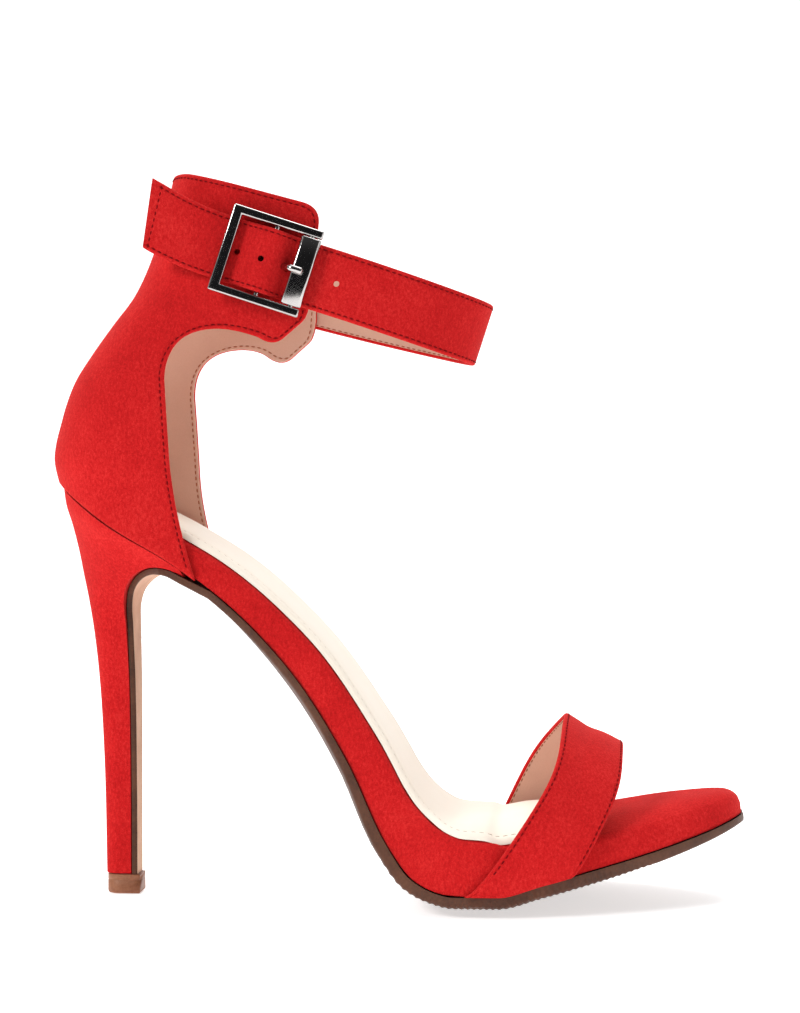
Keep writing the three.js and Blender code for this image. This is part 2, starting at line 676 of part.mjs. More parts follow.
// Frame of the buckle on the lateral side of the cuff
const buckleX = BACK_X + BUCKLE_ALONG;
const buckleZ = SEAT_HEIGHT + BUCKLE_RISE;
const toeInAngle = Math.atan(TOE_IN);
const buckleOrigin = new THREE.Vector3(buckleX, -wallHalf(buckleX, buckleZ, 0), buckleZ);
const outward = new THREE.Vector3(Math.sin(toeInAngle), -Math.cos(toeInAngle), 0);
const level = new THREE.Vector3(Math.cos(toeInAngle), Math.sin(toeInAngle), 0);
const alongStrap = level
  .clone()
  .multiplyScalar(Math.cos(ANKLE_STRAP_TILT))
  .add(new THREE.Vector3(0, 0, -Math.sin(ANKLE_STRAP_TILT)));
const acrossStrap = outward.clone().cross(alongStrap).negate();
const buckleFrame = new THREE.Matrix4().makeBasis(alongStrap, outward, acrossStrap);
buckleFrame.setPosition(buckleOrigin);

// Heights over the cuff, from the inside out
const STRAP_LOW = CLEARANCE; // strap on the cuff
const FRAME_LOW = STRAP_LOW + STRAP_THICK + 1.6 * CLEARANCE;
const BAR_LEVEL = 2 * CLEARANCE + BAR_RADIUS + 0.6;
const LOOP_TOP = BAR_LEVEL + BAR_RADIUS + CLEARANCE + LOOP_THICK;
const HUMP = LOOP_TOP + CLEARANCE - STRAP_LOW;
const ROLLER_LOW = FRAME_LOW;
const WINDOW = ANKLE_STRAP_WIDTH + 2 * CLEARANCE + 1.4;

const inBuckle = (a, n, h) => new THREE.Vector3(a, n, h).applyMatrix4(buckleFrame);
const boxInBuckle = (a0, a1, n0, n1, h0, h1) => {
  const box = new THREE.BoxGeometry(a1 - a0, n1 - n0, h1 - h0);
  box.translate((a0 + a1) / 2, (n0 + n1) / 2, (h0 + h1) / 2);
  return solidOf(box);
};

// The hump of the strap over the centre bar's loop, at a from the middle
function humpAt(a) {
  const bar = a < 0 ? BUCKLE_BAR : ROLLER_LENGTH;
  const reach = BUCKLE_LENGTH / 2 - bar - 2 * CLEARANCE;
  const t = THREE.MathUtils.clamp(Math.abs(a) / reach, 0, 1);
  return HUMP * (1 - t * t) ** 2;
}

// Middle line of the ankle strap from its free end, through the buckle and round the ankle
function ankleStrapLine() {
  const rear = -BUCKLE_LENGTH / 2 - 1;
  const mid = STRAP_LOW + STRAP_THICK / 2;
  const freeRise = Math.tan(THREE.MathUtils.degToRad(7));
  const free = [1, 0.66, 0.33].map((t) =>
    inBuckle(rear - t * FREE_END, mid + 0.8 * t, -t * t * FREE_END * freeRise),
  );
  const buckled = steps(rear, -rear, 14).map((a) => inBuckle(a, mid + humpAt(a), 0));
  // The loop ahead of the cuff is half an ellipse, seen from above
  const start = buckled[buckled.length - 1];
  const reach = BACK_X + ANKLE_LOOP_REACH - start.x;
  const frontZ = start.z - reach * Math.tan(ANKLE_STRAP_TILT);
  const medialFall = Math.tan(MEDIAL_TILT);
  const place = (way, side) => {
    const x = start.x + way * reach;
    const fall = THREE.MathUtils.lerp(medialFall, Math.tan(ANKLE_STRAP_TILT), (side + 1) / 2);
    return new THREE.Vector3(x, side * start.y, frontZ + (1 - way) * reach * fall);
  };
  const straight = 0.12; // share of the reach before the ellipse starts
  const front = steps(0, Math.PI, 12).map((angle) =>
    place(straight + (1 - straight) * Math.sin(angle), Math.cos(angle)),
  );
  const sewn = steps(0, -CUFF_REACH * 0.3, 5).map((back) => {
    const p = place(0, -1);
    p.x += back;
    p.z -= back * medialFall;
    p.y = wallHalf(p.x, p.z, 0) + CLEARANCE + STRAP_THICK / 2;
    return p;
  });
  return new THREE.CatmullRomCurve3([...free, ...buckled, ...front, ...sewn], false, "centripetal");
}

const SLANTED = 0.07; // share of the strap's length whose sections turn towards the slanted end
function ankleStrap() {
  const line = ankleStrapLine();
  const lean = new THREE.Vector3(Math.sin(ANKLE_STRAP_TILT), 0, Math.cos(ANKLE_STRAP_TILT));
  const places = steps(0, 1, 84);
  const face = (side) =>
    places.map((t) => {
      const p = line.getPoint(t);
      const way = line.getTangent(t);
      const up = lean.clone().addScaledVector(way, -lean.dot(way)).normalize();
      const out = way.clone().cross(up).normalize();
      const slant = FREE_END_SLANT * Math.max(0, 1 - t / SLANTED) ** 2;
      return [-0.5, 0, 0.5].map((share) =>
        p
          .clone()
          .addScaledVector(up, share * ANKLE_STRAP_WIDTH)
          .addScaledVector(way, -share * slant)
          .addScaledVector(out, (side * STRAP_THICK) / 2),
      );
    });
  const band = solidOf(slab(face(1), face(-1)));
  const hole = solidOf(prongRod(PRONG_RADIUS + CLEARANCE).applyMatrix4(buckleFrame));
  return geometryOf(band.subtract(hole));
}

// Rod of the prong from the centre bar, through the strap, to its rest on the roller
const ROLLER_TOP = ROLLER_LOW + ROLLER_THICK;
const PRONG_REST = ROLLER_TOP + CLEARANCE + PRONG_RADIUS;
function prongRod(radius) {
  const front = BUCKLE_LENGTH / 2;
  const line = new THREE.CatmullRomCurve3([
    new THREE.Vector3(BAR_RADIUS + CLEARANCE + 0.5, BAR_LEVEL, 0),
    new THREE.Vector3(front * 0.3, BAR_LEVEL + 0.3, 0),
    new THREE.Vector3(front * 0.45, (BAR_LEVEL + PRONG_REST) / 2, 0),
    new THREE.Vector3(front - ROLLER_LENGTH, PRONG_REST, 0),
    new THREE.Vector3(front - ROLLER_LENGTH * 0.4, PRONG_REST, 0),
  ]);
  const rings = steps(0, 1, 16).map((t) => {
    const p = line.getPoint(t);
    const way = line.getTangent(t);
    const up = new THREE.Vector3(-way.y, way.x, 0).normalize();
    return steps(0, 2 * Math.PI, 10)
      .slice(1)
      .map((angle) => {
        const q = p.clone().addScaledVector(up, radius * Math.cos(angle));
        q.z += radius * Math.sin(angle);
        return q;
      });
  });
  return loft(rings);
}

// Round rod along h, between two places across the strap
function rodAcross(a, n, radius, h0, h1, sides = 16) {
  const rod = new THREE.CylinderGeometry(radius, radius, h1 - h0, sides);
  rod.rotateX(Math.PI / 2);
  rod.translate(a, n, (h0 + h1) / 2);
  return solidOf(rod);
}

const ROLLER_AT = BUCKLE_LENGTH / 2 - ROLLER_LENGTH / 2;
const ROLLER_LEVEL = ROLLER_LOW + ROLLER_THICK / 2;
function buckleFrameSolid() {
  const end = BUCKLE_LENGTH / 2;
  const window = WINDOW / 2;
  const top = FRAME_LOW + FRAME_THICK;
  const railLow = BAR_LEVEL - BAR_RADIUS;
  const rail = (sign) => {
    const h = [sign * window, sign * (window + BUCKLE_RAIL)].sort((p, q) => p - q);
    const long = boxInBuckle(-end, end, FRAME_LOW, top, ...h);
    const lug = boxInBuckle(-end * 0.3, end * 0.3, railLow, FRAME_LOW + 0.5, ...h);
    return long.add(lug);
  };
  const rear = boxInBuckle(-end, -end + BUCKLE_BAR, FRAME_LOW, top, -window - 0.5, window + 0.5);
  const centre = rodAcross(0, BAR_LEVEL, BAR_RADIUS, -window - 0.5, window + 0.5);
  const front = rodAcross(ROLLER_AT, ROLLER_LEVEL, BAR_RADIUS, -window - 0.5, window + 0.5);
  return rail(1).add(rail(-1)).add(rear).add(centre).add(front);
}

function buckleRoller() {
  const half = WINDOW / 2 - CLEARANCE;
  const round = 0.7;
  const outline = new THREE.Shape();
  const a0 = ROLLER_AT - ROLLER_LENGTH / 2;
  const a1 = ROLLER_AT + ROLLER_LENGTH / 2;
  outline.moveTo(a0 + round, ROLLER_LOW);
  outline.lineTo(a1 - round, ROLLER_LOW);
  outline.quadraticCurveTo(a1, ROLLER_LOW, a1, ROLLER_LOW + round);
  outline.lineTo(a1, ROLLER_TOP - round);
  outline.quadraticCurveTo(a1, ROLLER_TOP, a1 - round, ROLLER_TOP);
  outline.lineTo(a0 + round, ROLLER_TOP);
  outline.quadraticCurveTo(a0, ROLLER_TOP, a0, ROLLER_TOP - round);
  outline.lineTo(a0, ROLLER_LOW + round);
  outline.quadraticCurveTo(a0, ROLLER_LOW, a0 + round, ROLLER_LOW);
  const sleeve = new THREE.ExtrudeGeometry(outline, {
    depth: 2 * half,
    bevelEnabled: false,
    curveSegments: 4,
  });
  sleeve.translate(0, 0, -half);
  const bore = rodAcross(ROLLER_AT, ROLLER_LEVEL, BAR_RADIUS + CLEARANCE, -half - 1, half + 1);
  return solidOf(sleeve).subtract(bore);
}

const PRONG_EYE_WIDTH = 2.4;
function buckleProng() {
  const inner = BAR_RADIUS + CLEARANCE;
  const eye = rodAcross(0, BAR_LEVEL, inner + 0.6, -PRONG_EYE_WIDTH / 2, PRONG_EYE_WIDTH / 2);
  const bore = rodAcross(0, BAR_LEVEL, inner, -PRONG_EYE_WIDTH, PRONG_EYE_WIDTH);
  return eye.add(solidOf(prongRod(PRONG_RADIUS))).subtract(bore);
}

// Loop of leather over the centre bar, sewn to the cuff at both feet, with a slot for the prong
function buckleTab() {
  const clear = BAR_RADIUS + CLEARANCE;
  const foot = clear + LOOP_THICK + LOOP_FOOT;
  const inside = [];
  inside.push([foot, CLEARANCE]);
  inside.push([clear + LOOP_THICK, CLEARANCE]);
  steps(0, Math.PI, 10).forEach((angle) => {
    inside.push([clear * Math.cos(angle), BAR_LEVEL + clear * Math.sin(angle)]);
  });
  inside.push([-clear - LOOP_THICK, CLEARANCE]);
  inside.push([-foot, CLEARANCE]);
  const line = inside.map(([a, n]) => new THREE.Vector3(a, n, 0));
  const grid = [-0.5, 0.5].map((share) =>
    line.map((p) => p.clone().setZ(share * LOOP_WIDTH)),
  );
  const band = solidOf(slab(offsetGrid(grid, LOOP_THICK, -1), grid));
  const slot = boxInBuckle(
    -clear - 1.3,
    foot + 1,
    0,
    LOOP_TOP + 2,
    -PRONG_EYE_WIDTH / 2 - CLEARANCE,
    PRONG_EYE_WIDTH / 2 + CLEARANCE,
  );
  return band.subtract(slot);
}

function solePlate() {
  const x = BACK_X + PLATE_ALONG * SOLE_LENGTH;
  const rows = steps(x - PLATE_LENGTH * 0.35, x + PLATE_LENGTH * 0.35, 4);
  const face = (depth) =>
    rows.map((place) => {
      const at = station(place);
      const low = -2 * CLEARANCE - OUTSOLE_THICK * sole.sole(at.along) - depth;
      return steps(-1, 1, 4).map((share) => {
        const p = at.origin.clone().addScaledVector(at.up, low);
        p.y += (share * PLATE_WIDTH) / 2;
        return p;
      });
    });
  return slab(face(PLATE_THICK), face(0));
}

// Finishes
const finish = (color, roughness, metalness = 0) =>
  new THREE.MeshStandardMaterial({ color, roughness, metalness });
const RED_SUEDE = finish(0xd9252a, 0.95);
const IVORY = finish(0xf3e9dc, 0.6);
const BROWN_SOLE = finish(0x6b4a3a, 0.5);
const BROWN_TIP = finish(0x8a5e48, 0.5);
const DARK_CHROME = finish(0x4a4a4c, 0.2, 1);
const PALE_GOLD = finish(0xc9a566, 0.3, 1);

const sandal = new THREE.Group();
function add(name, geometry, material, parent = sandal) {
  const mesh = new THREE.Mesh(geometry, material);
  mesh.name = name;
  parent.add(mesh);
}

add("outsole", outsole(), BROWN_SOLE);
add("heel", heel(), RED_SUEDE);
add("heel_tip", heelTip(), BROWN_TIP);
add("footbed", footbed(), RED_SUEDE);
add("insole", insole(), IVORY);
add("heel_counter", heelCounter(), RED_SUEDE);
add("toe_strap", toeStrap(), RED_SUEDE);
add("ankle_strap", ankleStrap(), RED_SUEDE);
add("sole_plate", solePlate(), PALE_GOLD);

const buckle = new THREE.Group();
buckle.applyMatrix4(buckleFrame);
sandal.add(buckle);
add("buckle_frame", geometryOf(buckleFrameSolid()), DARK_CHROME, buckle);
add("buckle_roller", geometryOf(buckleRoller()), DARK_CHROME, buckle);
add("buckle_prong", geometryOf(buckleProng()), DARK_CHROME, buckle);
add("buckle_tab", geometryOf(buckleTab()), RED_SUEDE, buckle);

// The origin is the middle of the sandal's box, on the floor
const standing = new THREE.Box3().setFromObject(sandal, true);
const middle = standing.getCenter(new THREE.Vector3());
sandal.position.set(-middle.x, -middle.y, 0);
sandal.updateMatrixWorld(true);

export default sandal;
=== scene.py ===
"""Strappy stiletto sandal for the right foot: its finished pieces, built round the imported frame."""

import json
import logging
import math
from dataclasses import dataclass, field
from enum import Enum
from typing import Optional, Sequence, Union

import bmesh
import bpy
import numpy as np
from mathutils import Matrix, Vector
from mathutils.geometry import delaunay_2d_cdt

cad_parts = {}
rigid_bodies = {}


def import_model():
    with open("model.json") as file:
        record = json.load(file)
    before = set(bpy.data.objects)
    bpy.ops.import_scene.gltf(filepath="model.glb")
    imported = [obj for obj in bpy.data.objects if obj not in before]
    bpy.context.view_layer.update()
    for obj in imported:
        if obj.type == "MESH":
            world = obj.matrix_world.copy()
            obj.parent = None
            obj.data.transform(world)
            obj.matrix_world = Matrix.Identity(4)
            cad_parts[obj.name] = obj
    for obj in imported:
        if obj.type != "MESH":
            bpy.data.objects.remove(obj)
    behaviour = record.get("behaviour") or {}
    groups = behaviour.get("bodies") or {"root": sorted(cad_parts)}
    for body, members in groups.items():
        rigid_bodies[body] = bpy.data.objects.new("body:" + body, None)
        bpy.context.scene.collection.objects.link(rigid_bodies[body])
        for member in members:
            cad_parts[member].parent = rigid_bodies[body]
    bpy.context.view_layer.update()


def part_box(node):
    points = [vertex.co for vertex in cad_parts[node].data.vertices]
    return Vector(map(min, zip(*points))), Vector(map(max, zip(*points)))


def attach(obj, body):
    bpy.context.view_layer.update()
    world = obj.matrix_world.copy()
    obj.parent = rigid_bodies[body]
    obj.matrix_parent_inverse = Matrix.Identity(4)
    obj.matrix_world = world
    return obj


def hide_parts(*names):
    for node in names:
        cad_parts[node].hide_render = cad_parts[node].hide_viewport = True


for leftover in list(bpy.data.objects):
    bpy.data.objects.remove(leftover)

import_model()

LOG = logging.getLogger("sandal")

# Of every strap and wall, in millimetres
STITCH_INSET = 1.15  # of a stitched line from its edge
GROOVE = 0.16  # that the stitches draw in
GROOVE_REACH = 0.22
LINING_GROOVE = 0.6  # share of that groove in the lining
RED_EDGE = 0.62  # that the suede is folded over
EDGE_SHARE = 0.45  # of the thickness, for the radius of an edge
EDGE_STEPS = (0.0, 0.03, 0.1, 0.22, 0.4, 0.62, 0.82, 1.0, 1.15, 1.3, 1.5, 1.9, 2.6)
SMALLEST_STEP = 0.05

Points = np.ndarray
Number = Union[float, Points]


class Rows:
    """Rows of numbers under named columns, read as smooth curves that never swing past them."""

    def __init__(self, columns: str, rows: Sequence[Sequence[float]]) -> None:
        """Keeps each column by its name; the first one is what the others follow."""
        names = columns.split()
        data = np.array(rows, float)
        self.columns = {name: data[:, i] for i, name in enumerate(names)}
        self.key = self.columns[names[0]]

    def over(self, name: str, at: Number, key: Optional[Points] = None) -> Points:
        """Value of a column.

        Args:
            name: the column.
            at: where to read it, in the units of the key.
            key: other places for the rows than the first column.

        Returns:
            One value for each place.
        """
        x = self.key if key is None else key
        y = self.columns[name]
        step = np.diff(x)
        slope = np.diff(y) / step
        tangent = np.zeros_like(y)
        tangent[0], tangent[-1] = slope[0], slope[-1]
        for i in range(1, len(y) - 1):
            if slope[i - 1] * slope[i] > 0:
                before = 2 * step[i] + step[i - 1]
                after = step[i] + 2 * step[i - 1]
                tangent[i] = (before + after) / (before / slope[i - 1] + after / slope[i])
        at = np.asarray(at, float)
        i = np.clip(np.searchsorted(x, at, side="left") - 1, 0, len(x) - 2)
        h = step[i]
        t = np.clip((at - x[i]) / h, 0, 1)
        value = y[i] * (1 + 2 * t) * (1 - t) ** 2 + tangent[i] * h * t * (1 - t) ** 2
        value = value + y[i + 1] * t * t * (3 - 2 * t) + tangent[i + 1] * h * t * t * (t - 1)
        value = np.where(at < x[0], y[0] + (at - x[0]) * slope[0], value)
        return np.where(at > x[-1], y[-1] + (at - x[-1]) * slope[-1], value)


# Shares as in the part's own source: rows from the heel to the toe
SOLE = Rows("along rise spring thick lift crown axis seat ball sole lean", [
    [0, 1, 0, 0.45, 0, 0.2, 0, 1, 0, 0.6, 0],
    [0.0733, 0.914, 0, 0.45, 0, 0.2, 0, 1, 0, 0.6, 0.1],
    [0.1681, 0.82, 0, 0.46, 0.1, 0.2, 0, 1, 0, 0.6, 0.4],
    [0.2306, 0.739, 0, 0.505, 0.3, 0.15, -0.01, 0.98, 0, 0.7, 0.6],
    [0.2931, 0.625, 0, 0.551, 0.8, 0.1, -0.027, 0.83, 0.07, 0.68, 0.66],
    [0.3556, 0.488, 0, 0.615, 1.08, 0.08, -0.047, 0.6, 0.22, 0.66, 0.66],
    [0.4192, 0.316, 0, 0.667, 1.04, 0.06, -0.067, 0.35, 0.43, 0.82, 0.66],
    [0.4716, 0.1405, 0, 0.788, 0.92, 0.06, -0.08, 0.17, 0.63, 1.1, 0.66],
    [0.513, 0.0455, 0, 0.968, 0.9, 0.08, -0.074, 0.06, 0.79, 1.1, 0.7],
    [0.5553, 0.008, 0, 1, 0.97, 0.15, -0.06, 0, 0.91, 1, 0.8],
    [0.58, 0, 0, 0.97, 1, 0.22, -0.04, 0, 0.957, 1, 1],
    [0.645, 0, 0, 0.89, 1, 0.35, -0.005, 0, 0.997, 1, 1],
    [0.7015, 0, 0.138, 0.735, 0.95, 0.6, 0.018, 0, 0.988, 1.05, 0.9],
    [0.7852, 0, 0.357, 0.49, 0.8, 0.9, 0.04, 0, 0.89, 1.1, 0.7],
    [0.8689, 0, 0.576, 0.43, 0.6, 0.92, 0.06, 0, 0.768, 1, 0.5],
    [0.9526, 0, 0.824, 0.35, 0.4, 0.72, 0.075, 0, 0.67, 0.8, 0.3],
    [1, 0, 1, 0.27, 0.2, 0.4, 0.08, 0, 0.62, 0.65, 0.2],
])

# From below the seat to over the cuff
COUNTER = Rows("level back ankle swell front", [
    [-0.38, 0.03, 0, 1, 0],
    [-0.177, 0, 0, 1, 0],
    [0, -0.045, 0, 1.01, 0],
    [0.103, -0.105, 0.1, 1.04, 0],
    [0.234, -0.025, 0.3, 1.05, 0],
    [0.34, 0.085, 0.6, 1.04, 0.1],
    [0.44, 0.27, 0.85, 1.01, 1],
    [0.53, 0.465, 1, 1, 1],
    [0.628, 0.685, 1, 1, 1],
    [0.758, 0.86, 1, 1, 1],
    [0.884, 0.97, 1, 1, 1],
    [1.06, 1.1, 1, 1, 1],
])

# From the tip up the heel's breast into the arch
BREAST = Rows("along rise seat tip", [
    [1, 0.06, 0, 1],
    [0.995, 0.3, 0.01, 1],
    [0.983, 0.52, 0.05, 1],
    [0.955, 0.66, 0.09, 1],
    [0.948, 0.72, 0.13, 1],
    [1.017, 0.762, 0.23, 1],
    [1.207, 0.795, 0.4, 1],
    [1.483, 0.811, 0.6, 1],
    [1.782, 0.807, 0.8, 0.7],
    [2.036, 0.79, 0.93, 0.3],
])

# From the heel's tip to its seat
HEEL = Rows("back front high low seat tip", [
    [0.0488, 0.1046, 0.05, 0.05, 0, 1],
    [0.0463, 0.1046, 0.26, 0.26, 0.01, 1],
    [0.0403, 0.1046, 0.476, 0.47, 0.035, 1],
    [0.0317, 0.1066, 0.627, 0.6, 0.085, 1],
    [0.0226, 0.1177, 0.727, 0.67, 0.17, 1],
    [0.0155, 0.1479, 0.79, 0.72, 0.33, 1],
    [0.0085, 0.1782, 0.855, 0.755, 0.56, 0.8],
    [-0.0011, 0.2034, 0.922, 0.78, 0.8, 0.4],
    [-0.0102, 0.2185, 0.975, 0.8, 0.965, 0.1],
    [-0.0142, 0.2235, 1.03, 0.84, 1, 0],
])


def round_end(share: Number, power: float = 2.2) -> Points:
    """Share of the full width at a share of a rounded end's length."""
    t = np.clip(share, 0, 1)
    return (1 - (1 - t) ** power) ** (1 / power)


def crowded(first: float, last: float, count: int) -> Points:
    """Places from first to last that lie closer together at the ends."""
    t = np.linspace(0, 1, count + 1)
    even = first + (last - first) * t
    rounded = (first + last) / 2 - (last - first) / 2 * np.cos(np.pi * t)
    return (even + rounded) / 2


def rounded_edge(share: Number) -> Points:
    """Share by which a rounded edge falls, at a share of its reach from the rim."""
    return 1 - np.sqrt(1 - (1 - np.clip(share, 0, 1)) ** 2)


def strap_edge(depth: Points, thick: float, groove: float) -> tuple[Points, Points]:
    """How far a strap's face falls at its edge, and into its sewn groove.

    Args:
        depth: distance from the edge.
        thick: of the strap.
        groove: depth of the groove.

    Returns:
        Both falls.
    """
    radius = thick * EDGE_SHARE
    fall = radius - np.sqrt(np.maximum(0, radius**2 - (radius - np.minimum(depth, radius)) ** 2))
    return fall, groove * np.exp(-(((depth - STITCH_INSET) / GROOVE_REACH) ** 2))


def unit(vectors: Points) -> Points:
    """Vectors of length one."""
    length = np.linalg.norm(vectors, axis=-1, keepdims=True)
    return vectors / np.maximum(length, 1e-12)


def refined(rings: Points, step: float) -> Points:
    """More rings between the given ones, on smooth curves through them."""
    middle = rings.mean(1)
    gone = np.concatenate([[0], np.cumsum(np.linalg.norm(np.diff(middle, axis=0), axis=1))])
    tangent = np.gradient(rings, gone, axis=0)
    parts = []
    for i, span in enumerate(np.diff(gone)):
        count = max(1, int(round(span / step)))
        for t in np.arange(count) / count:
            start = rings[i] * (1 + 2 * t) * (1 - t) ** 2 + tangent[i] * span * t * (1 - t) ** 2
            end = rings[i + 1] * t * t * (3 - 2 * t) + tangent[i + 1] * span * t * t * (t - 1)
            parts.append(start + end)
    return np.array(parts + [rings[-1]])


class Spline:
    """A smooth curve through points, spaced by the square root of their distances."""

    def __init__(self, points: Points) -> None:
        """Adds a point beyond each end, so that the end spans curve on."""
        points = np.asarray(points, float)
        first = 2 * points[0] - points[1]
        last = 2 * points[-1] - points[-2]
        self.points = np.vstack([first, points, last])
        self.spans = len(points) - 1

    def at(self, t: Number) -> Points:
        """Points of the curve, with t from 0 to 1 and equally long for every span."""
        t = np.clip(np.atleast_1d(np.asarray(t, float)), 0, 1) * self.spans
        i = np.minimum(t.astype(int), self.spans - 1)
        w = (t - i)[:, None]
        p0, p1, p2, p3 = (self.points[i + k] for k in range(4))
        root = [np.sqrt(np.linalg.norm(b - a, axis=1))[:, None] for a, b in ((p0, p1), (p1, p2), (p2, p3))]
        d0, d1, d2 = (np.maximum(r, 1e-4) for r in root)
        m1 = ((p1 - p0) / d0 - (p2 - p0) / (d0 + d1) + (p2 - p1) / d1) * d1
        m2 = ((p2 - p1) / d1 - (p3 - p1) / (d1 + d2) + (p3 - p2) / d2) * d1
        return (
            p1
            + m1 * w
            + (-3 * p1 + 3 * p2 - 2 * m1 - m2) * w**2
            + (2 * p1 - 2 * p2 + m1 + m2) * w**3
        )

    def way(self, t: Number) -> Points:
        """Directions of the curve."""
        t = np.atleast_1d(np.asarray(t, float))
        return unit(self.at(t + 1e-4) - self.at(t - 1e-4))

    def even(self, step: float) -> Points:
        """Values of t whose points lie a step apart."""
        t = np.linspace(0, 1, 4000)
        gone = np.concatenate([[0], np.cumsum(np.linalg.norm(np.diff(self.at(t), axis=0), axis=1))])
        return np.interp(np.linspace(0, gone[-1], max(2, int(gone[-1] / step))), gone, t)


# Meshes


@dataclass
class Skin:
    """Vertices in millimetres of the part's own source, faces, and a finish's number for each face."""

    vertices: Points
    faces: list[tuple[int, ...]]
    finishes: list[int]

    @staticmethod
    def loft(rings: Points, ring_finish: Optional[Sequence[int]] = None) -> "Skin":
        """Skin over closed rings with each end filled.

        Args:
            rings: rings, points and coordinates.
            ring_finish: number of the finish for each side of a ring.

        Returns:
            The skin, facing out.
        """
        count, sides = rings.shape[:2]
        numbers = [0] * sides if ring_finish is None else list(ring_finish)
        vertices = np.vstack([rings.reshape(-1, 3), rings[0].mean(0), rings[-1].mean(0)])
        faces: list[tuple[int, ...]] = []
        finishes: list[int] = []
        for i in range(count - 1):
            for j in range(sides):
                a, b = i * sides + j, i * sides + (j + 1) % sides
                faces.append((a, b, b + sides, a + sides))
                finishes.append(numbers[j])
        start, end, last = count * sides, count * sides + 1, (count - 1) * sides
        for j in range(sides):
            k = (j + 1) % sides
            faces.append((start, k, j))
            faces.append((end, last + j, last + k))
            finishes += [0, 0]
        return Skin(vertices, faces, finishes).facing_out()

    def facing_out(self) -> "Skin":
        """Turns every face round if the skin is inside out."""
        v = self.vertices
        volume = 0.0
        for face in self.faces:
            for a, b in zip(face[1:-1], face[2:]):
                volume += float(np.dot(v[face[0]], np.cross(v[a], v[b])))
        if volume < 0:
            self.faces = [tuple(reversed(face)) for face in self.faces]
        return self

    def joined(self, other: "Skin") -> "Skin":
        """This skin and another as one."""
        more = len(self.vertices)
        faces = self.faces + [tuple(i + more for i in face) for face in other.faces]
        return Skin(np.vstack([self.vertices, other.vertices]), faces, self.finishes + other.finishes)


@dataclass(frozen=True)
class Bench:
    """Turns skins into objects in the frame's metres, and hands them to the frame."""

    shift: tuple[float, float, float]

    def metres(self, points: Points) -> Points:
        """Points of the part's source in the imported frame."""
        return (np.asarray(points, float) + np.array(self.shift)) / 1000

    def object(
        self,
        name: str,
        skin: Skin,
        materials: Sequence[bpy.types.Material],
        sharp: float = 50,
    ) -> bpy.types.Object:
        """Makes an object of a skin.

        Args:
            name: its name.
            skin: its shape.
            materials: the finish behind each number.
            sharp: angle between faces, in degrees, past which their edge shows.

        Returns:
            The object, linked to the scene.
        """
        mesh = bpy.data.meshes.new(name)
        mesh.from_pydata([tuple(p) for p in self.metres(skin.vertices)], [], skin.faces)
        for material in materials:
            mesh.materials.append(material)
        mesh.polygons.foreach_set("material_index", skin.finishes)
        mesh.polygons.foreach_set("use_smooth", [True] * len(mesh.polygons))
        mesh.validate()
        mesh.set_sharp_from_angle(angle=math.radians(sharp))
        made = bpy.data.objects.new(name, mesh)
        bpy.context.scene.collection.objects.link(made)
        return made

    def baked(self, source: bpy.types.Object, name: str) -> bpy.types.Object:
        """Replaces an object with live modifiers by its plain result."""
        bpy.context.view_layer.update()
        depsgraph = bpy.context.evaluated_depsgraph_get()
        mesh = bpy.data.meshes.new_from_object(source.evaluated_get(depsgraph))
        mesh.name = name
        made = bpy.data.objects.new(name, mesh)
        bpy.data.objects.remove(source)
        bpy.context.scene.collection.objects.link(made)
        made.name = name
        return made

    def cut(
        self,
        piece: bpy.types.Object,
        tool: bpy.types.Object,
        operation: str,
        sharp: float = 35,
    ) -> bpy.types.Object:
        """Cuts or crosses a piece with a tool, which is used up.

        Args:
            piece: what is cut.
            tool: what cuts it.
            operation: INTERSECT, DIFFERENCE or UNION.
            sharp: angle between faces, in degrees, past which their edge shows.

        Returns:
            The piece's plain result under its old name.
        """
        name = piece.name
        modifier = piece.modifiers.new("cut", "BOOLEAN")
        modifier.operation = operation
        modifier.solver = "EXACT"
        modifier.material_mode = "TRANSFER"
        modifier.object = tool
        made = self.baked(piece, name)
        bpy.data.objects.remove(tool)
        made.data.polygons.foreach_set("use_smooth", [True] * len(made.data.polygons))
        made.data.set_sharp_from_angle(angle=math.radians(sharp))
        return made

    def hand_over(self, piece: bpy.types.Object, slot: str, *nodes: str) -> None:
        """Lets a finished piece ride on the frame and stand for CAD nodes."""
        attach(piece, "root")
        if nodes:
            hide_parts(*nodes)
        LOG.info("%s: %d faces, for %s", piece.name, len(piece.data.polygons), nodes or "detail")


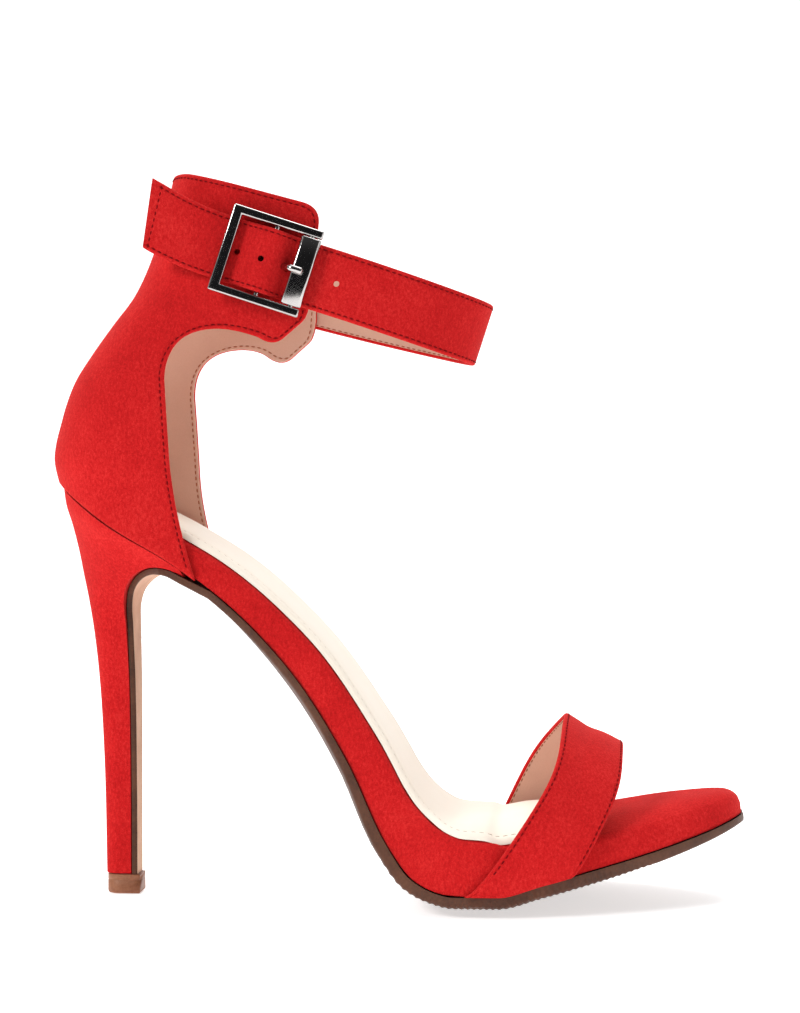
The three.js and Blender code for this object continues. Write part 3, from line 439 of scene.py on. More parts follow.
class Band:
    """Cross-section of a strap: a face outside, a lining inside, rounded edges, a sewn groove."""

    def __init__(self, width: float, thick: float, groove: float = GROOVE) -> None:
        """Lays the points out across the band.

        Args:
            width: of the band.
            thick: of the band.
            groove: depth of the sewn groove.
        """
        edge = np.array(EDGE_STEPS)
        edge = edge[edge < width / 2 - SMALLEST_STEP]
        middle = np.linspace(-width / 2 + edge[-1], width / 2 - edge[-1], 14)[1:-1]
        across = np.concatenate([-width / 2 + edge, middle, (width / 2 - edge)[::-1]])
        depth = width / 2 - np.abs(across)
        fall, sewn = strap_edge(depth, thick, groove)
        face = thick / 2 - fall - sewn
        lining = -(thick / 2 - fall - sewn * LINING_GROOVE)
        self.across = np.concatenate([across, across[::-1]])
        self.out = np.concatenate([face, lining[::-1]])
        inside = np.concatenate([np.zeros(len(across)), (depth > RED_EDGE)[::-1]])
        self.finish = [int(a and b) for a, b in zip(inside, np.roll(inside, -1))]

    def rings(
        self, centre: Points, up: Points, out: Points, way: Points, slant: Optional[Points] = None
    ) -> Points:
        """Rings of the band along a line.

        Args:
            centre: points of the line.
            up: directions across the band.
            out: directions out of its face.
            way: directions of the line.
            slant: how far one edge runs ahead of the other, at each point.

        Returns:
            Rings, points and coordinates.
        """
        across = self.across[None, :, None]
        rings = centre[:, None] + up[:, None] * across + out[:, None] * self.out[None, :, None]
        if slant is not None:
            share = across / (2 * np.abs(self.across).max())
            rings = rings - way[:, None] * share * slant[:, None, None]
        return rings


class Solidity(Enum):
    """How firmly a padded piece is filled."""

    THIN_FOAM = 0.35


# Shader tools


class Value:
    """A number or colour in a shader, which adds Math nodes when it is calculated with."""

    def __init__(self, paint: "Paint", socket: bpy.types.NodeSocket) -> None:
        """Keeps the socket and the tree that it is in."""
        self.paint = paint
        self.socket = socket

    def _with(self, operation: str, *values: "Feed") -> "Value":
        """Adds one Math node."""
        return self.paint.node("ShaderNodeMath", {"operation": operation}, dict(enumerate(values)))

    def __add__(self, other: "Feed") -> "Value":
        """Sum."""
        return self._with("ADD", self, other)

    __radd__ = __add__

    def __sub__(self, other: "Feed") -> "Value":
        """Difference."""
        return self._with("SUBTRACT", self, other)

    def __rsub__(self, other: "Feed") -> "Value":
        """Difference from a number."""
        return self._with("SUBTRACT", other, self)

    def __mul__(self, other: "Feed") -> "Value":
        """Product."""
        return self._with("MULTIPLY", self, other)

    __rmul__ = __mul__

    def __pow__(self, other: "Feed") -> "Value":
        """Power."""
        return self._with("POWER", self, other)


Feed = Union[float, tuple, Value]


class Paint:
    """The node tree of one material or of the world."""

    def __init__(self, owner: Union[bpy.types.Material, bpy.types.World]) -> None:
        """Empties the owner's tree."""
        self.owner = owner
        owner.use_nodes = True
        self.tree = owner.node_tree
        self.tree.nodes.clear()

    def node(
        self,
        kind: str,
        settings: Optional[dict] = None,
        inputs: Optional[dict] = None,
        output: Union[int, str] = 0,
    ) -> Value:
        """Adds a node.

        Args:
            kind: the node's type.
            settings: its properties, set first; stops is a list of a ramp's places and colours.
            inputs: values or links by socket name or number.
            output: the socket that is returned.

        Returns:
            The output.
        """
        made = self.tree.nodes.new(kind)
        for key, value in (settings or {}).items():
            if key == "stops":
                ramp = made.color_ramp
                while len(ramp.elements) < len(value):
                    ramp.elements.new(0.5)
                for element, (place, colour) in zip(ramp.elements, value):
                    element.position = place
                    element.color = colour
            else:
                setattr(made, key, value)
        for key, value in (inputs or {}).items():
            if isinstance(value, Value):
                self.tree.links.new(value.socket, made.inputs[key])
            else:
                made.inputs[key].default_value = value
        return Value(self, made.outputs[output])

    def places(self) -> Value:
        """Object coordinates."""
        return self.node("ShaderNodeTexCoord", output="Object")

    def noise(
        self, scale: float, detail: float = 2, rough: float = 0.5, stretch: tuple = (1, 1, 1)
    ) -> Value:
        """Soft noise over the surface.

        Args:
            scale: cells for each metre.
            detail: finer layers.
            rough: how strong those are.
            stretch: scale along each axis.

        Returns:
            A value about 0.5.
        """
        placed = self.node("ShaderNodeMapping", None, {"Vector": self.places(), "Scale": stretch})
        values = {"Vector": placed, "Scale": scale, "Detail": detail, "Roughness": rough}
        return self.node("ShaderNodeTexNoise", {"noise_dimensions": "3D"}, values, "Fac")

    def ramp(self, value: Feed, *stops: tuple) -> Value:
        """Colour for a value, from places and colours."""
        return self.node("ShaderNodeValToRGB", {"stops": list(stops)}, {0: value}, "Color")

    def mix(self, share: Feed, first: Feed, second: Feed) -> Value:
        """Mix of two colours."""
        return self.node("ShaderNodeMix", {"data_type": "RGBA"}, {0: share, 6: first, 7: second}, 2)

    def bump(self, height: Value, distance: float, strength: float = 1.0) -> Value:
        """Normal of a relief.

        Args:
            height: from 0 to 1.
            distance: what 1 is, in metres.
            strength: of the relief.

        Returns:
            The normal.
        """
        inputs = {"Height": height, "Distance": distance, "Strength": strength}
        return self.node("ShaderNodeBump", None, inputs, "Normal")

    def finish(self, **sockets: Feed) -> bpy.types.Material:
        """Closes the material with the main shader; spaces in socket names are underscores."""
        named = {key.replace("_", " "): value for key, value in sockets.items()}
        shader = self.node("ShaderNodeBsdfPrincipled", None, named, "BSDF")
        self.close(shader, "ShaderNodeOutputMaterial")
        return self.owner

    def close(self, shader: Value, kind: str) -> None:
        """Links a shader to the output of this kind."""
        made = self.tree.nodes.new(kind)
        self.tree.links.new(shader.socket, made.inputs["Surface"])


Colour = tuple[float, float, float, float]


def colour(red: float, green: float, blue: float) -> Colour:
    """A colour from the screen's values, 0 to 255."""
    share = np.array([red, green, blue]) / 255
    line = np.where(share <= 0.04045, share / 12.92, ((share + 0.055) / 1.055) ** 2.4)
    return (float(line[0]), float(line[1]), float(line[2]), 1.0)


# Finishes


@dataclass(frozen=True)
class Suede:
    """Red suede with a fine nap that lies in soft, cloudy patches."""

    name: str = "red_suede"
    deep: Colour = colour(150, 14, 15)
    main: Colour = colour(196, 27, 29)
    light: Colour = colour(228, 58, 54)
    nap: float = 0.0002

    def make(self) -> bpy.types.Material:
        """Builds the material."""
        paint = Paint(bpy.data.materials.new(self.name))
        fibres = paint.noise(4200, 3, 0.7)
        tufts = paint.noise(1500, 3, 0.65, (1, 1, 0.7))
        clouds = paint.noise(60, 3, 0.55)
        tone = fibres * 0.4 + tufts * 0.4 + clouds * 0.2
        shade = paint.ramp(tone, (0.3, self.deep), (0.5, self.main), (0.72, self.light))
        relief = paint.bump(fibres * 0.5 + tufts * 0.5, self.nap, 1.0)
        rough = 0.86 + clouds * 0.12
        return paint.finish(
            Base_Color=shade,
            Roughness=rough,
            Normal=relief,
            Specular_IOR_Level=0.08,
            Sheen_Weight=0.22,
            Sheen_Roughness=0.5,
            Sheen_Tint=colour(255, 110, 100),
        )


@dataclass(frozen=True)
class Lining:
    """Smooth nude lining leather with a faint grain."""

    name: str = "nude_lining"
    main: Colour = colour(228, 186, 166)
    worn: Colour = colour(204, 160, 140)

    def make(self) -> bpy.types.Material:
        """Builds the material."""
        paint = Paint(bpy.data.materials.new(self.name))
        grain = paint.noise(2600, 3, 0.6)
        clouds = paint.noise(90, 3, 0.55)
        shade = paint.mix(clouds * 0.5 + grain * 0.5, self.worn, self.main)
        relief = paint.bump(grain, 0.00008, 0.8)
        rough = 0.7 + grain * 0.14
        return paint.finish(Base_Color=shade, Roughness=rough, Normal=relief, Specular_IOR_Level=0.25)


@dataclass(frozen=True)
class Sock:
    """Ivory padded sock leather with a soft pebble grain."""

    name: str = "ivory_sock"
    main: Colour = colour(249, 241, 228)
    worn: Colour = colour(241, 230, 212)

    def make(self) -> bpy.types.Material:
        """Builds the material."""
        paint = Paint(bpy.data.materials.new(self.name))
        pebbles = paint.node("ShaderNodeTexVoronoi", {"feature": "SMOOTH_F1"},
                             {"Vector": paint.places(), "Scale": 1300, "Smoothness": 0.6}, "Distance")
        clouds = paint.noise(40, 2, 0.5)
        shade = paint.mix(clouds, self.worn, self.main)
        relief = paint.bump(pebbles, 0.00006, 0.5)
        return paint.finish(Base_Color=shade, Roughness=0.42 + clouds * 0.12, Normal=relief)


@dataclass(frozen=True)
class Moulded:
    """Moulded sole or top piece, matte brown with a slight bloom and fine scuffs."""

    name: str
    main: Colour
    pale: Colour
    gloss: float = 0.42

    def make(self) -> bpy.types.Material:
        """Builds the material."""
        paint = Paint(bpy.data.materials.new(self.name))
        bloom = paint.noise(110, 3, 0.55)
        scuffs = paint.noise(1300, 3, 0.6)
        shade = paint.ramp(bloom * 0.6 + scuffs * 0.4, (0.35, self.main), (0.75, self.pale))
        relief = paint.bump(scuffs, 0.00004, 0.6)
        rough = self.gloss + scuffs * 0.18
        return paint.finish(Base_Color=shade, Roughness=rough, Normal=relief, Specular_IOR_Level=0.25)


@dataclass(frozen=True)
class Metal:
    """Plated metal with faint polishing marks."""

    name: str
    main: Colour
    pale: Colour
    rough: float = 0.1

    def make(self) -> bpy.types.Material:
        """Builds the material."""
        paint = Paint(bpy.data.materials.new(self.name))
        marks = paint.noise(700, 3, 0.6, (1, 1, 6))
        haze = paint.noise(180, 2, 0.5)
        shade = paint.mix(haze, self.main, self.pale)
        relief = paint.bump(marks, 0.000008, 0.4)
        rough = self.rough + marks * 0.1
        return paint.finish(Base_Color=shade, Metallic=1.0, Roughness=rough, Normal=relief)


@dataclass(frozen=True)
class Thread:
    """Twisted sewing thread."""

    name: str
    main: Colour
    pale: Colour

    def make(self) -> bpy.types.Material:
        """Builds the material."""
        paint = Paint(bpy.data.materials.new(self.name))
        twist = paint.noise(3200, 1, 0.5, (1, 1, 2))
        shade = paint.mix(twist, self.main, self.pale)
        relief = paint.bump(twist, 0.00004, 0.6)
        rough = 0.75 + twist * 0.15
        return paint.finish(Base_Color=shade, Roughness=rough, Normal=relief, Specular_IOR_Level=0.1)


@dataclass
class Wardrobe:
    """Every finish, made once."""

    suede: bpy.types.Material = field(init=False)
    lining: bpy.types.Material = field(init=False)
    sock: bpy.types.Material = field(init=False)
    sole: bpy.types.Material = field(init=False)
    breast: bpy.types.Material = field(init=False)
    tip: bpy.types.Material = field(init=False)
    buckle: bpy.types.Material = field(init=False)
    plate: bpy.types.Material = field(init=False)
    red_thread: bpy.types.Material = field(init=False)
    nude_thread: bpy.types.Material = field(init=False)
    pale_thread: bpy.types.Material = field(init=False)

    def __post_init__(self) -> None:
        """Makes the materials."""
        self.suede = Suede().make()
        self.lining = Lining().make()
        self.sock = Sock().make()
        self.sole = Moulded("brown_sole", colour(68, 39, 26), colour(104, 64, 43)).make()
        # Pale peach breast finish: partly the sole's own tan underside, partly a painted highlight of the
        # flap's lit front face.
        self.breast = Moulded("breast_tan_and_painted_highlight", colour(206, 158, 128), colour(232, 190, 160), 0.6).make()
        self.tip = Moulded("brown_tip", colour(128, 78, 54), colour(168, 114, 84), 0.34).make()
        self.buckle = Metal("dark_nickel", colour(168, 164, 162), colour(192, 188, 186), 0.09).make()
        self.plate = Metal("pale_gold", colour(206, 174, 120), colour(232, 208, 160), 0.12).make()
        self.red_thread = Thread("red_thread", colour(96, 2, 8), colour(136, 6, 12)).make()
        self.nude_thread = Thread("nude_thread", colour(150, 84, 66), colour(186, 122, 98)).make()
        self.pale_thread = Thread("pale_thread", colour(150, 132, 110), colour(186, 170, 148)).make()


# Sewing


class Sewing:
    """Stitches along lines, made by one Geometry Nodes tree."""

    def __init__(self, bench: Bench) -> None:
        """Builds the tree."""
        self.bench = bench
        tree = bpy.data.node_groups.new("stitches", "GeometryNodeTree")
        face = tree.interface
        face.new_socket("Geometry", in_out="INPUT", socket_type="NodeSocketGeometry")
        self.keys = {
            name: face.new_socket(name, in_out="INPUT", socket_type=kind).identifier
            for name, kind in (
                ("Pitch", "NodeSocketFloat"),
                ("Length", "NodeSocketFloat"),
                ("Thickness", "NodeSocketFloat"),
                ("Finish", "NodeSocketMaterial"),
            )
        }
        face.new_socket("Geometry", in_out="OUTPUT", socket_type="NodeSocketGeometry")
        new, link = tree.nodes.new, tree.links.new
        given, result = new("NodeGroupInput"), new("NodeGroupOutput")
        line, even = new("GeometryNodeMeshToCurve"), new("GeometryNodeResampleCurve")
        even.mode = "LENGTH"
        link(given.outputs["Geometry"], line.inputs[0])
        link(line.outputs[0], even.inputs["Curve"])
        link(given.outputs["Pitch"], even.inputs["Length"])
        grain = new("GeometryNodeMeshUVSphere")
        grain.inputs["Segments"].default_value = 8
        grain.inputs["Rings"].default_value = 5
        grain.inputs["Radius"].default_value = 0.5
        size = new("ShaderNodeCombineXYZ")
        link(given.outputs["Length"], size.inputs[0])
        link(given.outputs["Thickness"], size.inputs[1])
        link(given.outputs["Thickness"], size.inputs[2])
        turn, way = new("FunctionNodeAlignRotationToVector"), new("GeometryNodeInputTangent")
        turn.axis = "X"
        link(way.outputs[0], turn.inputs["Vector"])
        sewn = new("GeometryNodeInstanceOnPoints")
        link(even.outputs[0], sewn.inputs["Points"])
        link(grain.outputs["Mesh"], sewn.inputs["Instance"])
        link(turn.outputs[0], sewn.inputs["Rotation"])
        link(size.outputs[0], sewn.inputs["Scale"])
        real, finish = new("GeometryNodeRealizeInstances"), new("GeometryNodeSetMaterial")
        smooth = new("GeometryNodeSetShadeSmooth")
        link(sewn.outputs[0], real.inputs[0])
        link(real.outputs[0], smooth.inputs[0])
        link(smooth.outputs[0], finish.inputs["Geometry"])
        link(given.outputs["Finish"], finish.inputs["Material"])
        link(finish.outputs[0], result.inputs[0])
        self.tree = tree

    def sew(
        self,
        name: str,
        lines: Sequence[Points],
        thread: bpy.types.Material,
        slot: str,
        pitch: float = 1.8,
        length: float = 1.25,
        thick: float = 0.4,
    ) -> bpy.types.Object:
        """Sews along lines.

        Args:
            name: the piece's name.
            lines: points of each line, in millimetres of the part's source.
            thread: the thread's finish.
            slot: the slot of what is sewn; not used.
            pitch: from stitch to stitch.
            length: of a stitch.
            thick: of the thread.

        Returns:
            The stitches as one plain mesh.
        """
        vertices: list[tuple] = []
        edges: list[tuple[int, int]] = []
        for line in lines:
            start = len(vertices)
            vertices += [tuple(p) for p in self.bench.metres(line)]
            edges += [(start + i, start + i + 1) for i in range(len(line) - 1)]
        mesh = bpy.data.meshes.new(name)
        mesh.from_pydata(vertices, edges, [])
        drawn = bpy.data.objects.new(name + "_line", mesh)
        bpy.context.scene.collection.objects.link(drawn)
        modifier = drawn.modifiers.new("sewing", "NODES")
        modifier.node_group = self.tree
        modifier[self.keys["Pitch"]] = pitch / 1000
        modifier[self.keys["Length"]] = length / 1000
        modifier[self.keys["Thickness"]] = thick / 1000
        modifier[self.keys["Finish"]] = thread
        made = self.bench.baked(drawn, name)
        self.bench.hand_over(made, slot)
        return made


# The sandal


@dataclass(frozen=True)
class Last:
    """The form that the sole follows. Millimetres."""

    length: float = 191
    seat_height: float = 115.5
    seat_width: float = 48.4
    ball_width: float = 74.2
    toe_spring: float = 21
    platform: float = 15.5
    edge_lift: float = 2.7
    crown: float = 4.5
    seat_round: float = 25.4
    toe_round: float = 45
    outsole: float = 3
    clearance: float = 0.3
    flat_share: float = 0.36

    @property
    def back(self) -> float:
        """The back of the footbed."""
        return -self.length / 2

    @property
    def ball_top(self) -> float:
        """Underside of the footbed at the ball."""
        return self.outsole + self.clearance

    def along(self, x: Number) -> Points:
        """Share of the sole's length at x."""
        return (np.asarray(x, float) - self.back) / self.length

    def feather(self, x: Number) -> Points:
        """Height of the footbed's underside."""
        at = self.along(x)
        rise = (self.seat_height - self.ball_top) * SOLE.over("rise", at)
        return self.ball_top + rise + self.toe_spring * SOLE.over("spring", at)

    def half(self, x: Number, grow: float = 0) -> Points:
        """Half width of the footbed, made larger all round by grow."""
        at = self.along(x)
        half = (SOLE.over("seat", at) * self.seat_width + SOLE.over("ball", at) * self.ball_width) / 2
        back = (x - self.back + grow) / (self.seat_round + grow)
        toe = (self.back + self.length + grow - x) / (self.toe_round + grow)
        return (half + grow) * round_end(back) * round_end(toe)

    def point(self, x: Points, share: Points, height: Points, grow: float = 0) -> Points:
        """Points of cross-sections.

        Args:
            x: place of each section.
            share: of the half width, for each section and point.
            height: over the underside of the footbed, square with the sole.
            grow: makes the sole larger all round.

        Returns:
            Sections, points and coordinates.
        """
        x = np.asarray(x, float)
        slope = self.feather(x + 0.5) - self.feather(x - 0.5)
        turn = np.arctan(slope) * SOLE.over("lean", self.along(x))
        made = np.zeros(np.broadcast(share, height).shape + (3,))
        made[..., 0] = x[:, None] - np.sin(turn)[:, None] * height
        axis = SOLE.over("axis", self.along(x)) * self.ball_width / 2
        made[..., 1] = axis[:, None] + share * self.half(x, grow)[:, None]
        made[..., 2] = self.feather(x)[:, None] + np.cos(turn)[:, None] * height
        return made

    def lift(self, x: Points, share: Points) -> Points:
        """How far the rounded underside lifts."""
        t = np.maximum(0, (np.abs(share) - self.flat_share) / (1 - self.flat_share))
        return self.edge_lift * SOLE.over("lift", self.along(x))[:, None] * t * t

    def stations(self, first: float, last: float, near: float = 14, step: float = 3.4) -> Points:
        """Places of sections that keep apart at the top too, where the sole bends upwards.

        Args:
            first: the first place.
            last: the last place.
            near: length at each end that is crowded.
            step: least advance of the top between two sections.

        Returns:
            The places.
        """
        ends = crowded(first, last, 190)
        kept = list(ends[ends < first + near])
        fine = np.arange(kept[-1] + 0.2, last - near, 0.2)
        top = self.point(fine, np.zeros((len(fine), 1)), self.rand(fine)[:, None] + 3)[:, 0, 0]
        reached = top[0] - step
        for x, ahead in zip(fine, top):
            if ahead >= reached + step and x >= kept[-1] + 0.6 * step:
                kept.append(float(x))
                reached = ahead
        return np.array(kept + list(ends[ends > max(last - near, kept[-1] + 1)]))

    def rand(self, x: Points) -> Points:
        """Height of the rand's top edge over the underside."""
        at = self.along(x)
        return self.platform * SOLE.over("thick", at) + self.edge_lift * SOLE.over("lift", at)

    def top(self, x: Points, share: Points) -> Points:
        """Height of the footbed's top."""
        crown = self.crown * SOLE.over("crown", self.along(x))
        return self.rand(x)[:, None] + crown[:, None] * (1 - share**4)


@dataclass
class SoleUnit:
    """Outsole with its breast flap, wrapped footbed, padded sock and the plain plate. Millimetres."""

    last: Last
    bench: Bench
    looks: Wardrobe
    sewing: Sewing
    ledge: float = 0.6
    join: float = 0.2256
    flap: float = 1.5
    flap_end: float = 5.62
    stem_front: float = 17.3
    tip_width: float = 8.5
    shoulder: float = 1.7
    toe_fall: float = 4.5
    draft: float = 0.985
    sock_thick: float = 1.7
    sock_inset: float = 1.7
    sock_front: float = 0.758
    sock_seam: float = 3.0
    rib_pitch: float = 1.7
    rib_depth: float = 0.3
    rib_reach: tuple[float, float] = (0.47, 0.9)
    flap_round: float = 0.3
    flap_reach: float = 0.35
    rim_round: float = 0.45
    rim_reach: float = 0.7
    seam_depth: float = 0.5
    seam_reach: float = 0.6
    sock_puffed: float = 0.3
    sock_edge: float = 1.1
    plate_width: float = 13
    plate_thick: float = 0.8
    plate_half: float = 3.15
    plate_along: float = 0.378

    def breast(self) -> Spline:
        """Curve of the breast: x, half width and height."""
        seat = BREAST.columns["seat"] * self.last.seat_width
        tip = BREAST.columns["tip"] * self.tip_width
        x = self.last.back + BREAST.columns["along"] * self.stem_front
        z = BREAST.columns["rise"] * self.last.seat_height
        return Spline(np.stack([x, (seat + tip) / 2, z], 1))

    def outsole(self) -> bpy.types.Object:
        """The moulded sole: flap down the breast, arch and ribbed forefoot."""
        rim = np.linspace(0.9, 1, 4)
        low = np.concatenate([-rim[::-1], np.linspace(-0.84, 0.84, 29), rim])
        high = np.linspace(1, -1, 21)
        curve = self.breast()
        t = np.linspace(0, 1, 70)
        p, way = curve.at(t), curve.way(t)
        up = unit(np.stack([-way[:, 2], np.zeros(len(t)), way[:, 0]], 1))
        thick = self.flap + (self.last.outsole * 0.65 - self.flap) * t**3
        centre = p * [1, 0, 1]
        rings = []
        for i in range(len(t)):
            rounding = self.flap_round * rounded_edge((1 - np.abs(low)) * p[i, 1] / self.flap_reach)
            lower = centre[i] + up[i] * (-thick[i] + rounding)[:, None]
            lower[:, 1] = low * p[i, 1]
            upper = centre[i] + up[i] * np.zeros((len(high), 1))
            upper[:, 1] = high * p[i, 1]
            rings.append(np.vstack([lower, upper]))
        rings[0] += [0, 0, self.flap_end - rings[0][:, 2].mean()]
        rings[0][:, 2] = self.flap_end
        first = self.last.back + self.join * self.last.length
        last = self.last.back + self.last.length + self.ledge - 0.25
        ribbed = self.last.back + np.array(self.rib_reach) * self.last.length
        ribs = np.arange(ribbed[0], ribbed[1], self.rib_pitch / 5)
        x = np.unique(np.concatenate([crowded(first, last, 80), ribs]))
        at = self.last.along(x)
        thick = self.last.outsole * SOLE.over("sole", at)
        share = np.tile(low, (len(x), 1))
        window = np.clip((at - 0.475) / 0.02, 0, 1) * np.clip((0.87 - at) / 0.02, 0, 1)  # fades at both ends
        wave = (0.5 + 0.5 * np.cos(2 * np.pi * x / self.rib_pitch)) ** 0.7
        cut = self.rib_depth * window * wave
        half = self.last.half(x, self.ledge)[:, None]
        rounding = self.rim_round * rounded_edge((1 - np.abs(share)) * half / self.rim_reach)
        lower_h = self.last.lift(x, share) - thick[:, None] + cut[:, None] + rounding - self.last.clearance
        lower = self.last.point(x, share, lower_h, self.ledge)
        share = np.tile(high, (len(x), 1))
        upper = self.last.point(x, share, self.last.lift(x, share) - self.last.clearance, self.ledge)
        arch = np.concatenate([lower, upper], 1)
        skin = Skin.loft(np.concatenate([np.array(rings), arch]))
        # The flap's front faces take the pale breast finish: partly tan underside colour, partly a painted
        # highlight where that face is lit.
        sides = len(low) + len(high)
        for i in range(int(len(t) * 0.97)):
            for j in range(2, len(low) - 3):
                skin.finishes[i * sides + j] = 1
        return self.bench.object("outsole_moulded", skin, [self.looks.sole, self.looks.breast], 60)

    def footbed(self) -> bpy.types.Object:
        """The board with its suede wrapped round the edge."""
        ends = self.last.length / 2 - 0.25
        x = self.last.stations(-ends, ends)
        half = np.maximum(self.last.half(x), 0.2)[:, None]
        radius = np.minimum(self.shoulder, 0.3 * half)
        turn = radius / half
        drop = self.toe_fall * 0.75 * rounded_edge((ends - x) / self.toe_fall)[:, None]
        rand = self.last.rand(x)[:, None] - drop
        low = np.tile(np.linspace(-1, 1, 25), (len(x), 1))
        share, height = [low], [self.last.lift(x, low)]
        step = np.linspace(0, 1, 7)[None, 1:]
        lift = self.last.lift(x, np.ones((len(x), 1)))
        side = 1 + (self.draft - 1) * step + 0.25 / half * np.sin(np.pi * step)
        climb = lift + (rand - radius - lift) * step
        angle = np.linspace(0, np.pi / 2, 7)[None, 1:]
        arc = self.draft - turn + turn * np.cos(angle)
        crown = self.last.top(x, arc) - drop - rand
        over = rand - radius + radius * np.sin(angle) + crown
        flat = np.linspace(1, -1, 35)[None, 1:-1] * (self.draft - turn)
        share += [np.tile(side, 1), arc, flat, -arc[:, ::-1], -side[:, ::-1]]
        height += [climb, over, self.last.top(x, flat) - drop, over[:, ::-1], climb[:, ::-1]]
        rings = refined(self.last.point(x, np.concatenate(share, 1), np.concatenate(height, 1)), 1.0)
        return self.bench.object("footbed_wrapped", Skin.loft(rings), [self.looks.suede], 70)

    def sock_base(self, x: Points, share: Points) -> Points:
        """Height of the sock's underside."""
        narrower = self.last.half(x, -self.sock_inset) / np.maximum(self.last.half(x), 0.01)
        return self.last.top(x, share * narrower[:, None]) + self.last.clearance

    def sock_puff(self, x: Points, share: Points) -> Points:
        """Thickness of the padded sock, drawn in at its edge and along its seam."""
        side = (1 - np.abs(share)) * self.last.half(x, -self.sock_inset)[:, None]
        depth = np.minimum(side, (x - x[0])[:, None] + 0.3)
        edge = (self.sock_thick - 0.3) * rounded_edge(depth / self.sock_edge)
        seam = self.seam_depth * np.exp(-(((depth - self.sock_seam) / self.seam_reach) ** 2))
        inner = 1 - np.exp(-((np.maximum(0, depth - self.sock_seam) / 4) ** 2))
        return self.sock_thick - edge - seam + self.sock_puffed * inner

    def sock(self) -> bpy.types.Object:
        """The padded ivory sock."""
        first = self.last.back + self.sock_inset + self.last.clearance
        last = self.last.back + self.last.length * self.sock_front
        x = self.last.stations(first, last)
        spread = np.linspace(-1, 1, 91)
        across = np.sign(spread) * np.abs(spread) ** 0.85
        low = np.tile(across[::4], (len(x), 1))
        high = np.tile(across[::-1], (len(x), 1))
        lower = self.last.point(x, low, self.sock_base(x, low) + 0.02, -self.sock_inset)
        upper_h = self.sock_base(x, high) + self.sock_puff(x, high)
        upper = self.last.point(x, high, upper_h, -self.sock_inset)
        rings = refined(np.concatenate([lower, upper], 1), 0.9)
        made = self.bench.object("insole_sock", Skin.loft(rings), [self.looks.sock], 70)
        seam_x = x[(x > first + self.sock_seam + 2) & (x < last - 1)]
        reach = self.last.half(seam_x, -self.sock_inset)[:, None]
        share = (1 - self.sock_seam / reach) * np.array([[-1, 1]])
        height = self.sock_base(seam_x, share) + self.sock_thick - 0.36
        seams = refined(self.last.point(seam_x, share, height, -self.sock_inset), 0.7)
        lines = [seams[:, 0], seams[:, 1]]
        self.sewing.sew("insole_stitches", lines, self.looks.pale_thread, "sock", 2.2, 1.5, 0.42)
        return made

    def plate(self) -> bpy.types.Object:
        """The small plain plate under the waist."""
        x = self.last.back + self.plate_along * self.last.length + np.linspace(-1, 1, 14) * self.plate_half
        thick = self.last.outsole * SOLE.over("sole", self.last.along(x))
        height = (-2 * self.last.clearance - thick - self.plate_thick / 2)[:, None]
        centre = self.last.point(x, np.zeros((len(x), 1)), height)[:, 0]
        centre[:, 1] -= SOLE.over("axis", self.last.along(x)) * self.last.ball_width / 2
        way = unit(np.gradient(centre, axis=0))
        up = np.tile([0.0, 1.0, 0.0], (len(x), 1))
        out = unit(np.cross(way, up))
        ends = 1 - np.abs(np.linspace(-1, 1, len(x)))
        rings = Band(self.plate_width, self.plate_thick, 0.0).rings(centre, up, out, way)
        narrow = 1 - 0.06 * rounded_edge(ends / 0.16)
        rings = centre[:, None] + (rings - centre[:, None]) * narrow[:, None, None]
        return self.bench.object("sole_plate_plain", Skin.loft(rings), [self.looks.plate], 60)

    def build(self) -> None:
        """Makes every piece of the sole."""
        self.bench.hand_over(self.outsole(), "sole", "outsole")
        self.bench.hand_over(self.footbed(), "suede", "footbed")
        sock = self.sock()
        self.bench.hand_over(sock, "sock", "insole")
        self.bench.hand_over(self.plate(), "plate", "sole_plate")


